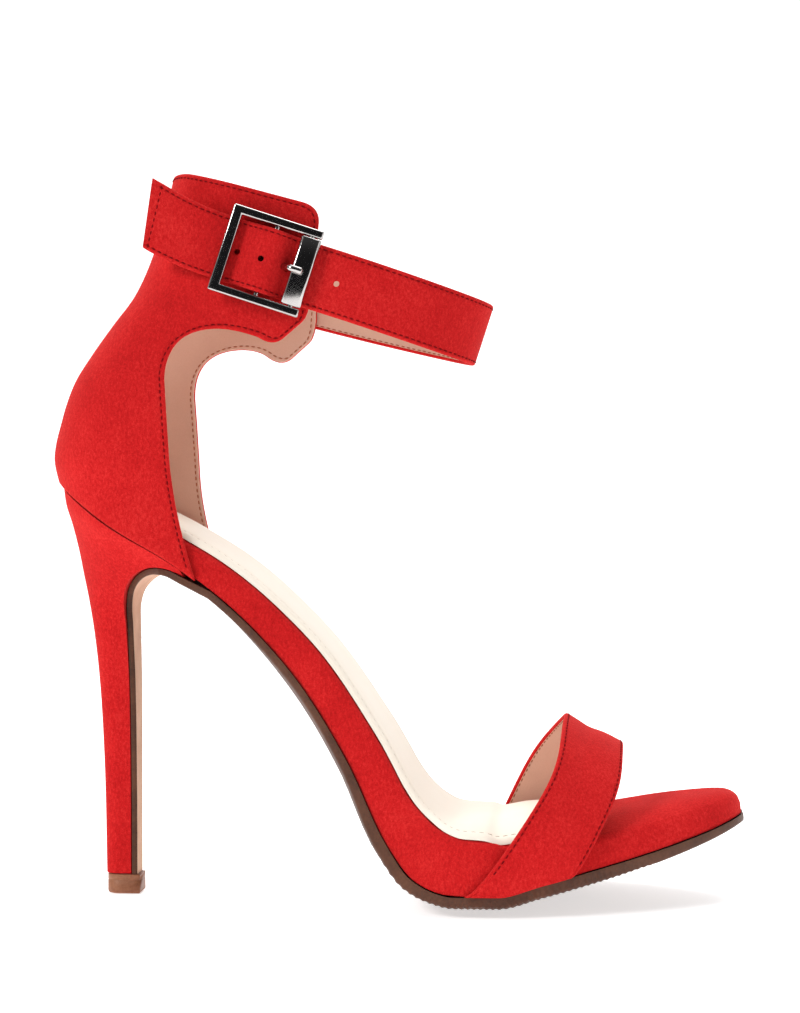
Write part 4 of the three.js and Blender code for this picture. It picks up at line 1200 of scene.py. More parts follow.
@dataclass
class Stiletto:
    """The suede-covered heel and its top piece. Millimetres."""

    sole: SoleUnit
    bench: Bench
    looks: Wardrobe
    wall: float = 1.8
    tip_height: float = 5.5
    tip_length: float = 10
    tip_ledge: float = 2.3

    def ring(self, back: Points, front: Points, half: float, steps: int = 22) -> Points:
        """A ring with a flat front and a round back, between two points of the side view."""
        length = float(np.linalg.norm(front - back))
        rounded = min(half * 1.08, length * 0.8)
        way = (front - back) / length
        share = 1 - np.cos(np.linspace(0, np.pi / 2, steps))
        side = back + way * (share * rounded)[:, None]
        width = np.zeros((steps, 3))
        width[:, 1] = half * round_end(share)
        corner = np.array([0, half, 0])
        start = side[-1] + width[-1]
        straight = [start + (front + corner - start) * t for t in (0.33, 0.66, 1)]
        right = np.vstack([side + width, straight])
        left = right * [1, -1, 1]
        return np.vstack([left[::-1], right[1:]])

    def stem(self) -> bpy.types.Object:
        """The heel from its tip to its seat, cut to the breast and the seat."""
        last = self.sole.last
        rows = np.arange(len(HEEL.key), dtype=float)
        i = np.linspace(0, rows[-1], 90)
        of = {name: HEEL.over(name, i, rows) for name in HEEL.columns}
        gap = self.wall + last.clearance
        rings = []
        for k in range(len(i)):
            back = np.array([last.back + of["back"][k] * last.length, 0, of["high"][k] * last.seat_height])
            front = np.array([last.back + of["front"][k] * last.length, 0, of["low"][k] * last.seat_height])
            half = of["seat"][k] * (last.seat_width / 2 + gap) + of["tip"][k] * self.sole.tip_width / 2
            rings.append(self.ring(back, front, float(half)))
        piece = self.bench.object("heel_covered", Skin.loft(np.array(rings)), [self.looks.suede])
        curve = self.sole.breast()
        t = np.linspace(0, 1, 120)
        p, way = curve.at(t), curve.way(t)
        away = unit(np.stack([-way[:, 2], way[:, 0]], 1))
        line = p[:, [0, 2]] + away * last.clearance
        floor = self.tip_height + last.clearance
        line = line[(line[:, 1] > floor) & (line[:, 1] < last.feather(line[:, 0]) - 0.6)]
        seat = np.linspace(last.back - 2 * gap, last.back + self.sole.join * last.length, 50)
        seat = seat[seat < line[-1, 0]][::-1]
        outline = [(last.back - 2 * gap, floor), (line[0, 0], floor), *map(tuple, line)]
        outline += [(x, float(last.feather(x)) - 0.3) for x in seat]
        side = np.array([[[x, sign * last.seat_width, z] for x, z in outline] for sign in (-1, 1)])
        tool = self.bench.object("heel_tool", self.prism(side), [self.looks.suede])
        return self.bench.cut(piece, tool, "INTERSECT", 38)

    @staticmethod
    def prism(sides: Points) -> Skin:
        """A solid between two equal outlines."""
        count = sides.shape[1]
        faces: list[tuple[int, ...]] = [tuple(range(count)), tuple(range(2 * count - 1, count - 1, -1))]
        for j in range(count):
            k = (j + 1) % count
            faces.append((k, j, j + count, k + count))
        return Skin(sides.reshape(-1, 3), faces, [0] * len(faces)).facing_out()

    def tip(self) -> bpy.types.Object:
        """The top piece, with a worn lower rim and a fine seam."""
        reach = self.sole.last.back + BREAST.columns["along"][0] * self.sole.stem_front + self.tip_ledge
        half = self.sole.tip_width / 2
        levels = [(0, 0.45), (0.1, 0.22), (0.3, 0.08), (0.7, 0.0)]
        levels += [(3.6, 0), (3.7, 0.12), (3.85, 0.12), (3.95, 0)]
        levels += [(self.tip_height - 0.25, 0), (self.tip_height - 0.08, 0.06), (self.tip_height, 0.2)]
        rings = []
        for z, inset in levels:
            front = np.array([reach - inset, 0, z])
            back = np.array([reach - self.tip_length + inset, 0, z])
            rings.append(self.ring(back, front, half - inset))
        return self.bench.object("heel_tip_rubber", Skin.loft(np.array(rings)), [self.looks.tip], 55)

    def build(self) -> None:
        """Makes the heel's pieces."""
        self.bench.hand_over(self.stem(), "suede", "heel")
        self.bench.hand_over(self.tip(), "tip", "heel_tip")


@dataclass
class CounterCuff:
    """The heel counter that grows into the ankle cuff: one wall, suede outside, lined inside."""

    last: Last
    bench: Bench
    looks: Wardrobe
    sewing: Sewing
    wall: float = 1.8
    rise: float = 88.8
    lean: float = 29.6
    ankle_width: float = 51
    toe_in: float = 0.055
    reach: float = 73.5
    opening: float = 31.4
    medial_drop: float = 3
    medial_short: float = 3.5
    edge_round: float = 0.45
    mesh: float = 1.7

    def plan(self, z: Points, inset: float = 0) -> tuple[Points, Points, Points, Points]:
        """Back, half width, end of the round back and toe-in of the wall at a height."""
        level = (z - self.last.seat_height) / self.rise
        gap = self.wall + self.last.clearance
        ankle = COUNTER.over("ankle", level)
        seat = self.last.seat_width / 2 + gap
        half = (seat + (self.ankle_width / 2 - seat) * ankle) * COUNTER.over("swell", level)
        back = self.last.back - gap + COUNTER.over("back", level) * self.lean
        return back + inset, half - inset, back + half * 1.05, self.toe_in * np.clip(ankle, 0, 1)

    def wall_half(self, x: Points, z: Points, inset: float = 0) -> Points:
        """Half width of the wall at x and a height."""
        back, half, straight, toe_in = self.plan(z, inset)
        rounded = round_end((x - back) / (straight - back))
        return half * rounded - toe_in * np.maximum(0, x - straight)

    def lines(self, z: Points) -> tuple[Points, Points, Points]:
        """The wall's plan at each height as points and the length gone from the back."""
        back, _, straight, _ = self.plan(z)
        t = np.linspace(0, np.pi / 2, 60)
        rounded = back[:, None] + (1 - np.cos(t))[None] * (straight - back)[:, None]
        end = self.last.back + self.reach + 12
        onward = straight[:, None] + np.linspace(0, 1, 40)[None, 1:] * (end - straight)[:, None]
        x = np.concatenate([rounded, onward], 1)
        y = self.wall_half(x, z[:, None])
        gone = np.cumsum(np.hypot(np.diff(x, axis=1), np.diff(y, axis=1)), axis=1)
        return x, y, np.concatenate([np.zeros((len(z), 1)), gone], 1)

    def length_at(self, x: Points, z: Points) -> Points:
        """Length round the wall from its back to x."""
        lines_x, _, gone = self.lines(z)
        return np.array([np.interp(x[i], lines_x[i], gone[i]) for i in range(len(z))])

    def surface(self, spot: Points, depth: Number) -> Points:
        """Points of the wall.

        Args:
            spot: length round the wall, negative on the lateral side, and height.
            depth: under the outer face.

        Returns:
            The points.
        """
        z = spot[:, 1]
        x, y, gone = self.lines(z)

        def at(length: Points) -> Points:
            """Plan points at lengths that may be negative."""
            a = np.abs(length)
            px = np.array([np.interp(a[i], gone[i], x[i]) for i in range(len(z))])
            py = np.array([np.interp(a[i], gone[i], y[i]) for i in range(len(z))])
            return np.stack([px, py * np.where(length < 0, -1, 1)], 1)

        way = unit(at(spot[:, 0] + 0.15) - at(spot[:, 0] - 0.15))
        inward = np.stack([-way[:, 1], way[:, 0]], 1)
        middle = at(spot[:, 0])
        towards = np.stack([np.ones(len(z)), -middle[:, 1]], 1)
        turn = np.sign((inward * towards).sum(1))
        turn[turn == 0] = 1
        moved = middle + inward * (turn * np.broadcast_to(depth, z.shape))[:, None]
        return np.stack([moved[:, 0], moved[:, 1], z], 1)

    def side_outline(self, drop: float, short: float) -> Points:
        """Side-view outline from the back of the seat round the front to the back of the top."""
        last, opening, corner = self.last, self.opening, self.reach - short
        points: list[tuple[float, float]] = []

        def place(reach: float, level: float, down: float) -> tuple[float, float]:
            """A point of the side view."""
            return (last.back + reach, last.seat_height + level * self.rise - down)

        def line(*end: float) -> None:
            """A straight run."""
            start = np.array(points[-1])
            for t in np.linspace(0, 1, 40)[1:]:
                points.append(tuple(start + (np.array(end) - start) * t))

        def bend(by: tuple[float, float], end: tuple[float, float]) -> None:
            """A curved run."""
            start, by_, end_ = np.array(points[-1]), np.array(by), np.array(end)
            for t in np.linspace(0, 1, 24)[1:]:
                points.append(tuple((1 - t) ** 2 * start + 2 * t * (1 - t) * by_ + t * t * end_))

        for x in np.linspace(last.back - 4, last.back + opening + 7.8, 400):
            points.append((float(x), float(last.feather(x))))
        bend(place(opening + 1.5, -0.07, drop), place(opening + 0.6, 0.1, drop))
        line(*place(opening - 0.8, 0.345, drop))
        bend(place(opening - 0.8, 0.505, drop), place(opening + 14, 0.505, drop))
        bend(place(opening + 19, 0.503, drop), place(corner - 17, 0.478, drop))
        bend(place(corner - 12.9, 0.447, drop), place(corner - 10, 0.475, drop))
        line(*place(corner - 4.4, 0.53, drop))
        bend(place(corner - 3, 0.55, drop), place(corner - 2.5, 0.6, drop))
        line(*place(corner - 0.1 - short / 2, 0.83, drop))
        bend(place(corner + 0.4 - short / 2, 0.885, drop), place(corner - 5, 0.9, drop))
        line(*place(opening + 4, 1.0, drop / 2))
        bend(place(opening - 1, 1.01, 0), place(opening - 4, 1.005, 0))
        line(*place(-8.4, 0.97, 0))
        return np.array(points)

    def unrolled(self, drop: float, short: float, side: int) -> Points:
        """The outline of one side as length round the wall and height, from the seat to the top."""
        outline = self.side_outline(drop, short)
        back = self.plan(outline[:, 1])[0]
        outline = outline[outline[:, 0] > back + 1e-3]
        length = self.length_at(outline[:, 0], outline[:, 1])
        spots = np.stack([length, outline[:, 1]], 1)
        spots = np.vstack([[0, spots[0, 1]], spots, [0, spots[-1, 1]]])
        gone = np.concatenate([[0], np.cumsum(np.linalg.norm(np.diff(spots, axis=0), axis=1))])
        even = np.linspace(0, gone[-1], int(gone[-1] / 0.9))
        spots = np.stack([np.interp(even, gone, spots[:, 0]), np.interp(even, gone, spots[:, 1])], 1)
        return spots * [side, 1]

    def loop(self) -> Points:
        """The whole outline, unrolled, once round."""
        lateral = self.unrolled(0, 0, -1)
        medial = self.unrolled(self.medial_drop, self.medial_short, 1)
        medial[-1, 1] = lateral[-1, 1]
        return np.vstack([lateral, medial[-2:0:-1]])

    @staticmethod
    def inset(loop: Points, distance: float) -> Points:
        """A loop drawn in by a distance."""
        ahead, behind = np.roll(loop, -1, 0), np.roll(loop, 1, 0)
        way = unit(unit(ahead - loop) + unit(loop - behind))
        normal = np.stack([-way[:, 1], way[:, 0]], 1)
        area = np.sum(loop[:, 0] * ahead[:, 1] - ahead[:, 0] * loop[:, 1])
        return loop + normal * distance * (1 if area > 0 else -1)

    @staticmethod
    def inside(loop: Points, spots: Points) -> Points:
        """Whether spots lie inside a loop."""
        result = np.zeros(len(spots), bool)
        for a, b in zip(loop, np.roll(loop, -1, 0)):
            crosses = (a[1] > spots[:, 1]) != (b[1] > spots[:, 1])
            with np.errstate(divide="ignore", invalid="ignore"):
                meet = a[0] + (spots[:, 1] - a[1]) * (b[0] - a[0]) / (b[1] - a[1])
            result ^= crosses & (spots[:, 0] < meet)
        return result

    def shell(self) -> bpy.types.Object:
        """The wall as one closed skin with rounded, folded edges."""
        loop = self.loop()
        rim = self.inset(loop, self.edge_round)
        rings = [(self.inset(loop, d), g) for d, g in ((0.8, 0), (STITCH_INSET, GROOVE), (1.5, 0), (2.1, 0))]
        low, high = loop.min(0), loop.max(0)
        columns, levels = (np.arange(low[i], high[i], self.mesh) for i in (0, 1))
        grid = np.stack(np.meshgrid(columns, levels), -1).reshape(-1, 2)
        every_other = ((grid[:, 1] - low[1]) / self.mesh).astype(int) % 2 == 0
        grid[:, 0] += np.where(every_other, 0, self.mesh / 2)
        core = self.inset(loop, 3.0)
        grid = grid[self.inside(core, grid)]
        extra = [(spots[self.inside(rim, spots)], groove) for spots, groove in rings]
        spots = np.vstack([rim] + [e[0] for e in extra] + [grid])
        sewn = [np.full(len(ring), groove) for ring, groove in extra]
        grooves = np.concatenate([np.zeros(len(rim)), *sewn, np.zeros(len(grid))])
        seam = spots[:, 1] - self.last.feather(self.surface(spots, 0)[:, 0]) < 3
        grooves[seam] = 0
        count = len(rim)
        edges = [(i, (i + 1) % count) for i in range(count)]
        found, _, faces, origin, _, _ = delaunay_2d_cdt(
            [Vector(s) for s in spots], edges, [list(range(count))], 1, 1e-5
        )
        flat = np.array([[v[0], v[1]] for v in found])
        groove = np.array([grooves[o[0]] if o else 0 for o in origin])
        index = {old: new for new, olds in enumerate(origin) for old in olds}
        more = len(flat)
        outer = self.surface(flat, groove)
        inner = self.surface(flat, self.wall - groove * LINING_GROOVE)
        vertices = [outer, inner]
        border = [index[i] for i in range(count)]
        folded = ((0.16, 0.2), (0.03, 0.5))
        depths = [*folded, (0.0, self.wall / 2), *((d, self.wall - depth) for d, depth in folded[::-1])]
        tracks = [border]
        total = 2 * more
        for d, depth in depths:
            vertices.append(self.surface(self.inset(loop, d), depth))
            tracks.append(list(range(total, total + count)))
            total += count
        tracks.append([b + more for b in border])
        skins = [tuple(f) for f in faces]
        tops = [tuple(i + more for i in reversed(f)) for f in faces]
        made: list[tuple[int, ...]] = []
        rim_finish: list[int] = []
        area = np.sum(loop[:, 0] * np.roll(loop[:, 1], -1) - np.roll(loop[:, 0], -1) * loop[:, 1])
        for near, far in zip(tracks, tracks[1:]):
            for i in range(count):
                k = (i + 1) % count
                quad = (near[i], far[i], far[k], near[k])
                made.append(quad if area > 0 else tuple(reversed(quad)))
                rim_finish.append(int(near is tracks[-2]))
        finishes = [0] * len(skins) + [1] * len(tops) + rim_finish
        skin = Skin(np.vstack(vertices), skins + tops + made, finishes).facing_out()
        return self.bench.object("counter_cuff", skin, [self.looks.suede, self.looks.lining], 60)

    def stitches(self) -> None:
        """Stitch lines along every edge but the lasted one."""
        spots = self.inset(self.loop(), STITCH_INSET)
        x = self.surface(spots, 0)[:, 0]
        free = spots[:, 1] - self.last.feather(x) > 2.2
        runs = np.split(np.arange(len(spots)), np.flatnonzero(np.diff(free.astype(int))) + 1)
        chosen = [spots[run] for run in runs if free[run[0]] and len(run) > 3]
        for name, depth, thread in (
            ("counter_stitches", 0.0, self.looks.red_thread),
            ("counter_lining_stitches", self.wall, self.looks.nude_thread),
        ):
            self.sewing.sew(name, [self.surface(s, depth) for s in chosen], thread, "suede")

    def build(self) -> None:
        """Makes the cuff and its stitches."""
        self.bench.hand_over(self.shell(), "suede", "heel_counter")
        self.stitches()


@dataclass
class ToeStrap:
    """The broad band over the toes. Millimetres."""

    last: Last
    bench: Bench
    looks: Wardrobe
    sewing: Sewing
    thick: float = 1.8
    rear: float = 114.4
    width: float = 28.6
    top_width: float = 16.6
    lean: float = 26
    height: float = 30
    fall: float = 8
    lateral_lean: float = 0.72
    medial_lean: float = 0.98
    lateral_bulge: float = 0.13
    medial_bulge: float = -0.09
    bulge_power: float = 2.3
    puff: float = 0.12
    sunk: float = 0.03

    def face(self, u: Points) -> Points:
        """Inner face: rows from the rear edge to the front edge, columns over the toes."""
        angles = np.linspace(0, np.pi, 131)
        cos = np.cos(angles)
        arch_share = -np.sign(cos) * np.abs(cos) ** (2 / 2.3)
        arch_up = np.maximum(0, np.sin(angles)) ** (2 / 1.9)
        side = np.linspace(0, 1, 14)[:-1]
        rows = []
        for v in u:
            foot = np.array([self.last.back + self.rear + v * self.width])
            lean = self.lean + v * (self.top_width - self.width)
            low = float(self.last.feather(foot)[0] + self.last.lift(foot, np.ones((1, 1)))[0, 0])
            rand = low + self.last.platform * float(SOLE.over("thick", self.last.along(foot))[0])
            apex = rand + self.height - v * self.fall
            share = np.concatenate([-np.ones(13), arch_share, np.ones(13)])
            climb = low + side * (rand - low)
            z = np.concatenate([climb, rand + arch_up * (apex - rand), climb[::-1]])
            power = self.lateral_lean + (self.medial_lean - self.lateral_lean) * (share + 1) / 2
            up = np.maximum(0, z - low) / (apex - low)
            bulge = self.lateral_bulge + (self.medial_bulge - self.lateral_bulge) * (share + 1) / 2
            x = foot + lean * (up**power + bulge * np.sin(np.pi * up**self.bulge_power))
            middle = SOLE.over("axis", self.last.along(x)) * self.last.ball_width / 2
            rows.append(np.stack([x, middle + share * self.last.half(x, 1.6 * self.last.clearance), z], 1))
        return np.array(rows)

    def build(self) -> None:
        """Makes the band and its stitches."""
        width = (self.width + self.top_width) / 2
        edge = np.array(EDGE_STEPS) / width
        u = np.concatenate([edge, np.linspace(edge[-1], 1 - edge[-1], 16)[1:-1], 1 - edge[::-1]])
        face = self.face(u)
        along = np.gradient(face, axis=0)
        across = np.gradient(face, axis=1)
        normal = unit(np.cross(along, across))
        normal *= np.sign(np.sum(normal[:, 78] * [0, 0, 1]))
        depth = np.minimum(u, 1 - u) * width
        fall, sewn = strap_edge(depth, self.thick, GROOVE)
        puff = self.puff * np.sin(np.pi * u)
        outer = face + normal * (self.thick - fall - sewn + puff)[:, None, None]
        inner = face + normal * (fall + sewn * LINING_GROOVE)[:, None, None]
        rings = np.concatenate([outer, inner[::-1]], 0).transpose(1, 0, 2)
        inside = np.concatenate([np.zeros(len(u)), (depth > RED_EDGE)[::-1]])
        finish = [int(a and b) for a, b in zip(inside, np.roll(inside, -1))]
        skin = Skin.loft(rings, finish)
        made = self.bench.object("toe_strap_band", skin, [self.looks.suede, self.looks.lining], 60)
        self.bench.hand_over(made, "suede", "toe_strap")
        spots = [int(np.argmin(np.abs(v * width - STITCH_INSET))) for v in (u, 1 - u)]
        clear = slice(6, -6)
        for name, level, thread in (
            ("toe_strap_stitches", self.thick - self.sunk, self.looks.red_thread),
            ("toe_strap_lining_stitches", self.sunk, self.looks.nude_thread),
        ):
            lines = [(face + normal * level)[i][clear] for i in spots]
            self.sewing.sew(name, lines, thread, "suede")


@dataclass
class BuckleSeat:
    """Where the buckle lies on the lateral side of the cuff. Millimetres."""

    cuff: CounterCuff
    along: float = 59.1
    rise: float = 63.2
    length: float = 26
    rail: float = 2.4
    bar: float = 2.9
    roller: float = 5.6
    strap_width: float = 18
    strap_thick: float = 1.8
    tilt: float = math.radians(18)
    bar_radius: float = 0.7
    frame_thick: float = 2.2
    roller_thick: float = 2.8
    loop_thick: float = 0.9

    def __post_init__(self) -> None:
        """Works out the buckle's own axes and levels."""
        gap = self.cuff.last.clearance
        x = self.cuff.last.back + self.along
        z = self.cuff.last.seat_height + self.rise
        half = float(self.cuff.wall_half(np.array([x]), np.array([z]))[0])
        self.origin = np.array([x, -half, z])
        turn = math.atan(self.cuff.toe_in)
        self.out = np.array([math.sin(turn), -math.cos(turn), 0])
        level = np.array([math.cos(turn), math.sin(turn), 0])
        self.way = level * math.cos(self.tilt) + np.array([0, 0, -math.sin(self.tilt)])
        self.up = -np.cross(self.out, self.way)
        self.strap_low = gap
        self.frame_low = gap + self.strap_thick + 1.6 * gap
        self.bar_level = 2 * gap + self.bar_radius + 0.6
        self.loop_top = self.bar_level + self.bar_radius + gap + self.loop_thick
        self.hump = self.loop_top + gap - self.strap_low
        self.window = self.strap_width + 2 * gap + 1.4

    def at(self, a: Number, n: Number, h: Number) -> Points:
        """Points from their place along, out of and across the strap."""
        a, n, h = np.broadcast_arrays(np.asarray(a, float), n, h)
        return self.origin + a[..., None] * self.way + n[..., None] * self.out + h[..., None] * self.up

    def hump_at(self, a: float) -> float:
        """How far the strap humps over the centre bar's loop."""
        reach = self.length / 2 - (self.bar if a < 0 else self.roller) - 0.6
        t = min(1.0, abs(a) / reach)
        return self.hump * (1 - t * t) ** 2


@dataclass
class AnkleStrap:
    """The strap from the medial cuff round the ankle, through the buckle, to its free end."""

    seat: BuckleSeat
    bench: Bench
    looks: Wardrobe
    sewing: Sewing
    reach: float = 117.2
    free: float = 21.3
    slant: float = 7
    slanted: float = 0.07
    medial_tilt: float = math.radians(14.5)
    sewn: float = 0.3
    hole_pitch: float = 7.2
    hole_radius: float = 0.85

    def line(self) -> Spline:
        """Middle line of the strap from its free end."""
        seat, last = self.seat, self.seat.cuff.last
        rear = -seat.length / 2 - 1
        mid = seat.strap_low + seat.strap_thick / 2
        rise = math.tan(math.radians(7))
        points = [
            seat.at(rear - t * self.free, mid + 0.8 * t, -t * t * self.free * rise) for t in (1, 0.66, 0.33)
        ]
        points += [seat.at(a, mid + seat.hump_at(a), 0) for a in np.linspace(rear, -rear, 15)]
        start = points[-1]
        reach = last.back + self.reach - start[0]
        front_z = start[2] - reach * math.tan(seat.tilt)
        medial_fall = math.tan(self.medial_tilt)

        def place(way: float, side: float) -> Points:
            """A point of the loop ahead of the cuff."""
            fall = medial_fall + (math.tan(seat.tilt) - medial_fall) * (side + 1) / 2
            return np.array([start[0] + way * reach, side * start[1], front_z + (1 - way) * reach * fall])

        for angle in np.linspace(0, math.pi, 13):
            points.append(place(0.12 + 0.88 * math.sin(angle), math.cos(angle)))
        for back in np.linspace(0, -self.seat.cuff.reach * self.sewn, 6):
            p = place(0, -1)
            p[0] += back
            p[2] -= back * medial_fall
            half = seat.cuff.wall_half(np.array([p[0]]), np.array([p[2]]))[0]
            p[1] = half + last.clearance + seat.strap_thick / 2
            points.append(p)
        return Spline(np.array(points))

    def build(self) -> None:
        """Makes the strap with its punched holes and its stitches."""
        seat, line = self.seat, self.line()
        t = np.unique(np.concatenate([line.even(0.75), [0.0005, 0.001, 0.002]]))
        centre, way = line.at(t), line.way(t)
        lean = np.array([math.sin(seat.tilt), 0, math.cos(seat.tilt)])
        up = unit(lean - way * (way @ lean)[:, None])
        out = unit(np.cross(way, up))
        slant = self.slant * np.maximum(0, 1 - t / self.slanted) ** 2
        band = Band(seat.strap_width, seat.strap_thick)
        rings = band.rings(centre, up, out, way, slant)
        made = self.bench.object(
            "ankle_strap_band", Skin.loft(rings, band.finish), [self.looks.suede, self.looks.lining], 60
        )
        prong = seat.length / 2 * 0.45
        holes: Optional[Skin] = None
        for k in (-2, -1, 0, 2):
            a = prong + k * self.hole_pitch
            radius = self.hole_radius + (0.35 if k == 0 else 0)
            ring = np.linspace(0, 2 * np.pi, 25)[:-1]
            along, across = a + radius * np.cos(ring), radius * np.sin(ring)
            skin = Skin.loft(np.array([seat.at(along, n, across) for n in (-1.0, 9.0)]))
            holes = skin if holes is None else holes.joined(skin)
        tool = self.bench.object("hole_tool", holes, [self.looks.suede])
        made = self.bench.cut(made, tool, "DIFFERENCE", 50)
        self.bench.hand_over(made, "suede", "ankle_strap")
        edge = seat.strap_width / 2 - STITCH_INSET
        shift = slant[:, None] * way / seat.strap_width
        for name, side, thread in (
            ("ankle_strap_stitches", seat.strap_thick / 2 - 0.04, self.looks.red_thread),
            ("ankle_strap_lining_stitches", -seat.strap_thick / 2 + 0.04, self.looks.nude_thread),
        ):
            rows = [centre + up * s * edge + out * side - shift * s * edge for s in (-1, 1)]
            keep = t > t[np.argmin(np.abs(np.linalg.norm(centre - centre[0], axis=1) - 1.3))]
            start = int(np.flatnonzero(keep)[0])
            end = np.linspace(rows[0][start], rows[1][start], 20)
            self.sewing.sew(name, [rows[0][start:-2], rows[1][start:-2], end], thread, "suede")


@dataclass
class Buckle:
    """The frame with its bars, the roller, the prong and the loop on the cuff. Millimetres."""

    seat: BuckleSeat
    bench: Bench
    looks: Wardrobe

    def bevelled(
        self, outline: Sequence[tuple[float, float]], low: float, high: float, bevel: float
    ) -> Skin:
        """A plate with an outline along and across the strap and bevelled edges.

        Args:
            outline: corners.
            low: height over the cuff of its inner face.
            high: height of its outer face.
            bevel: width of the bevel.

        Returns:
            The skin.
        """
        work = bmesh.new()
        corners = [work.verts.new((a, low, h)) for a, h in outline]
        base = work.faces.new(corners)
        raised = bmesh.ops.extrude_face_region(work, geom=[base])
        moved = [v for v in raised["geom"] if isinstance(v, bmesh.types.BMVert)]
        bmesh.ops.translate(work, verts=moved, vec=(0, high - low, 0))
        bmesh.ops.recalc_face_normals(work, faces=work.faces)
        bmesh.ops.bevel(work, geom=list(work.edges), offset=bevel, segments=4, profile=0.5, affect="EDGES")
        work.verts.ensure_lookup_table()
        flat = np.array([v.co for v in work.verts])
        faces = [tuple(v.index for v in f.verts) for f in work.faces]
        work.free()
        vertices = self.seat.at(flat[:, 0], flat[:, 1], flat[:, 2])
        return Skin(vertices, faces, [0] * len(faces)).facing_out()

    def rod(self, a: float, n: float, radius: float, half: float, sides: int = 28) -> Skin:
        """A round rod across the strap, with eased ends."""
        angle = np.linspace(0, 2 * np.pi, sides + 1)[:-1]
        rings = []
        for h, share in ((-half, 0.75), (-half + 0.12, 1), (half - 0.12, 1), (half, 0.75)):
            along, out = radius * share * np.cos(angle), radius * share * np.sin(angle)
            rings.append(self.seat.at(a + along, n + out, h))
        return Skin.loft(np.array(rings))

    def body(self) -> bpy.types.Object:
        """The frame: rear bar, rails, lugs, centre bar and front bar."""
        seat = self.seat
        end, window, rail = seat.length / 2, seat.window / 2, seat.window / 2 + seat.rail
        top = seat.frame_low + seat.frame_thick
        outline = [(end, window), (-end + seat.bar, window), (-end + seat.bar, -window), (end, -window)]
        outline += [(end, -rail), (-end, -rail), (-end, rail), (end, rail)]
        skin = self.bevelled(outline, seat.frame_low, top, 0.55)
        for sign in (-1, 1):
            near, far = sorted((sign * (window + 0.15), sign * (rail - 0.15)))
            lug = [(-end * 0.3, near), (end * 0.3, near), (end * 0.3, far), (-end * 0.3, far)]
            foot = seat.bar_level - seat.bar_radius
            skin = skin.joined(self.bevelled(lug, foot, seat.frame_low + 0.6, 0.25))
        roller_at = end - seat.roller / 2
        level = seat.frame_low + seat.roller_thick / 2
        skin = skin.joined(self.rod(0, seat.bar_level, seat.bar_radius, window + 0.6))
        skin = skin.joined(self.rod(roller_at, level, seat.bar_radius, window + 0.6))
        return self.bench.object("buckle_frame_plated", skin, [self.looks.buckle], 40)

    def roller(self) -> bpy.types.Object:
        """The flat sleeve on the front bar."""
        seat = self.seat
        a, n = seat.length / 2 - seat.roller / 2, seat.frame_low + seat.roller_thick / 2
        half, high, corner = seat.roller / 2, seat.roller_thick / 2, 0.8
        angle = np.linspace(0, np.pi / 2, 8)
        ring = []
        for sa, sn, start in ((1, 1, 0), (-1, 1, 1), (-1, -1, 2), (1, -1, 3)):
            turn = angle + start * np.pi / 2
            along = sa * (half - corner) + corner * np.cos(turn)
            out = sn * (high - corner) + corner * np.sin(turn)
            ring.append(np.stack([along, out], 1))
        outline = np.vstack(ring)
        reach = seat.window / 2 - 0.3
        rings = []
        eased = ((0, 0.8), (0.1, 0.93), (0.3, 1))
        for h, share in (*((d - reach, k) for d, k in eased), *((reach - d, k) for d, k in eased[::-1])):
            rings.append(seat.at(a + outline[:, 0] * share, n + outline[:, 1] * share, h))
        skin = Skin.loft(np.array(rings))
        return self.bench.object("buckle_roller_plated", skin, [self.looks.buckle], 45)

    def prong(self) -> bpy.types.Object:
        """The prong from the centre bar, through the strap, to its rest on the roller."""
        seat = self.seat
        front = seat.length / 2
        top = seat.frame_low + seat.roller_thick + 0.3 + 1.0
        line = Spline(np.array([
            [seat.bar_radius + 0.8, seat.bar_level, 0],
            [front * 0.3, seat.bar_level + 0.3, 0],
            [front * 0.45, (seat.bar_level + top) / 2, 0],
            [front - seat.roller, top, 0],
            [front - seat.roller * 0.4, top, 0],
        ]))
        t = np.concatenate([np.linspace(0, 0.97, 60), [0.98, 0.99, 0.995, 1]])
        p, way = line.at(t), line.way(t)
        side = unit(np.stack([-way[:, 1], way[:, 0], np.zeros(len(t))], 1))
        radius = 1.0 - 0.1 * t
        radius[-5:] *= [1, 0.92, 0.75, 0.55, 0.2]
        angle = np.linspace(0, 2 * np.pi, 25)[:-1]
        flat = p[:, None] + side[:, None] * (np.cos(angle)[None] * radius[:, None])[..., None]
        flat[..., 2] += np.sin(angle)[None] * radius[:, None] * 1.1
        skin = Skin.loft(seat.at(flat[..., 0], flat[..., 1], flat[..., 2]))
        skin = skin.joined(self.rod(0, seat.bar_level, seat.bar_radius + 0.85, 1.2))
        return self.bench.object("buckle_prong_plated", skin, [self.looks.buckle], 45)

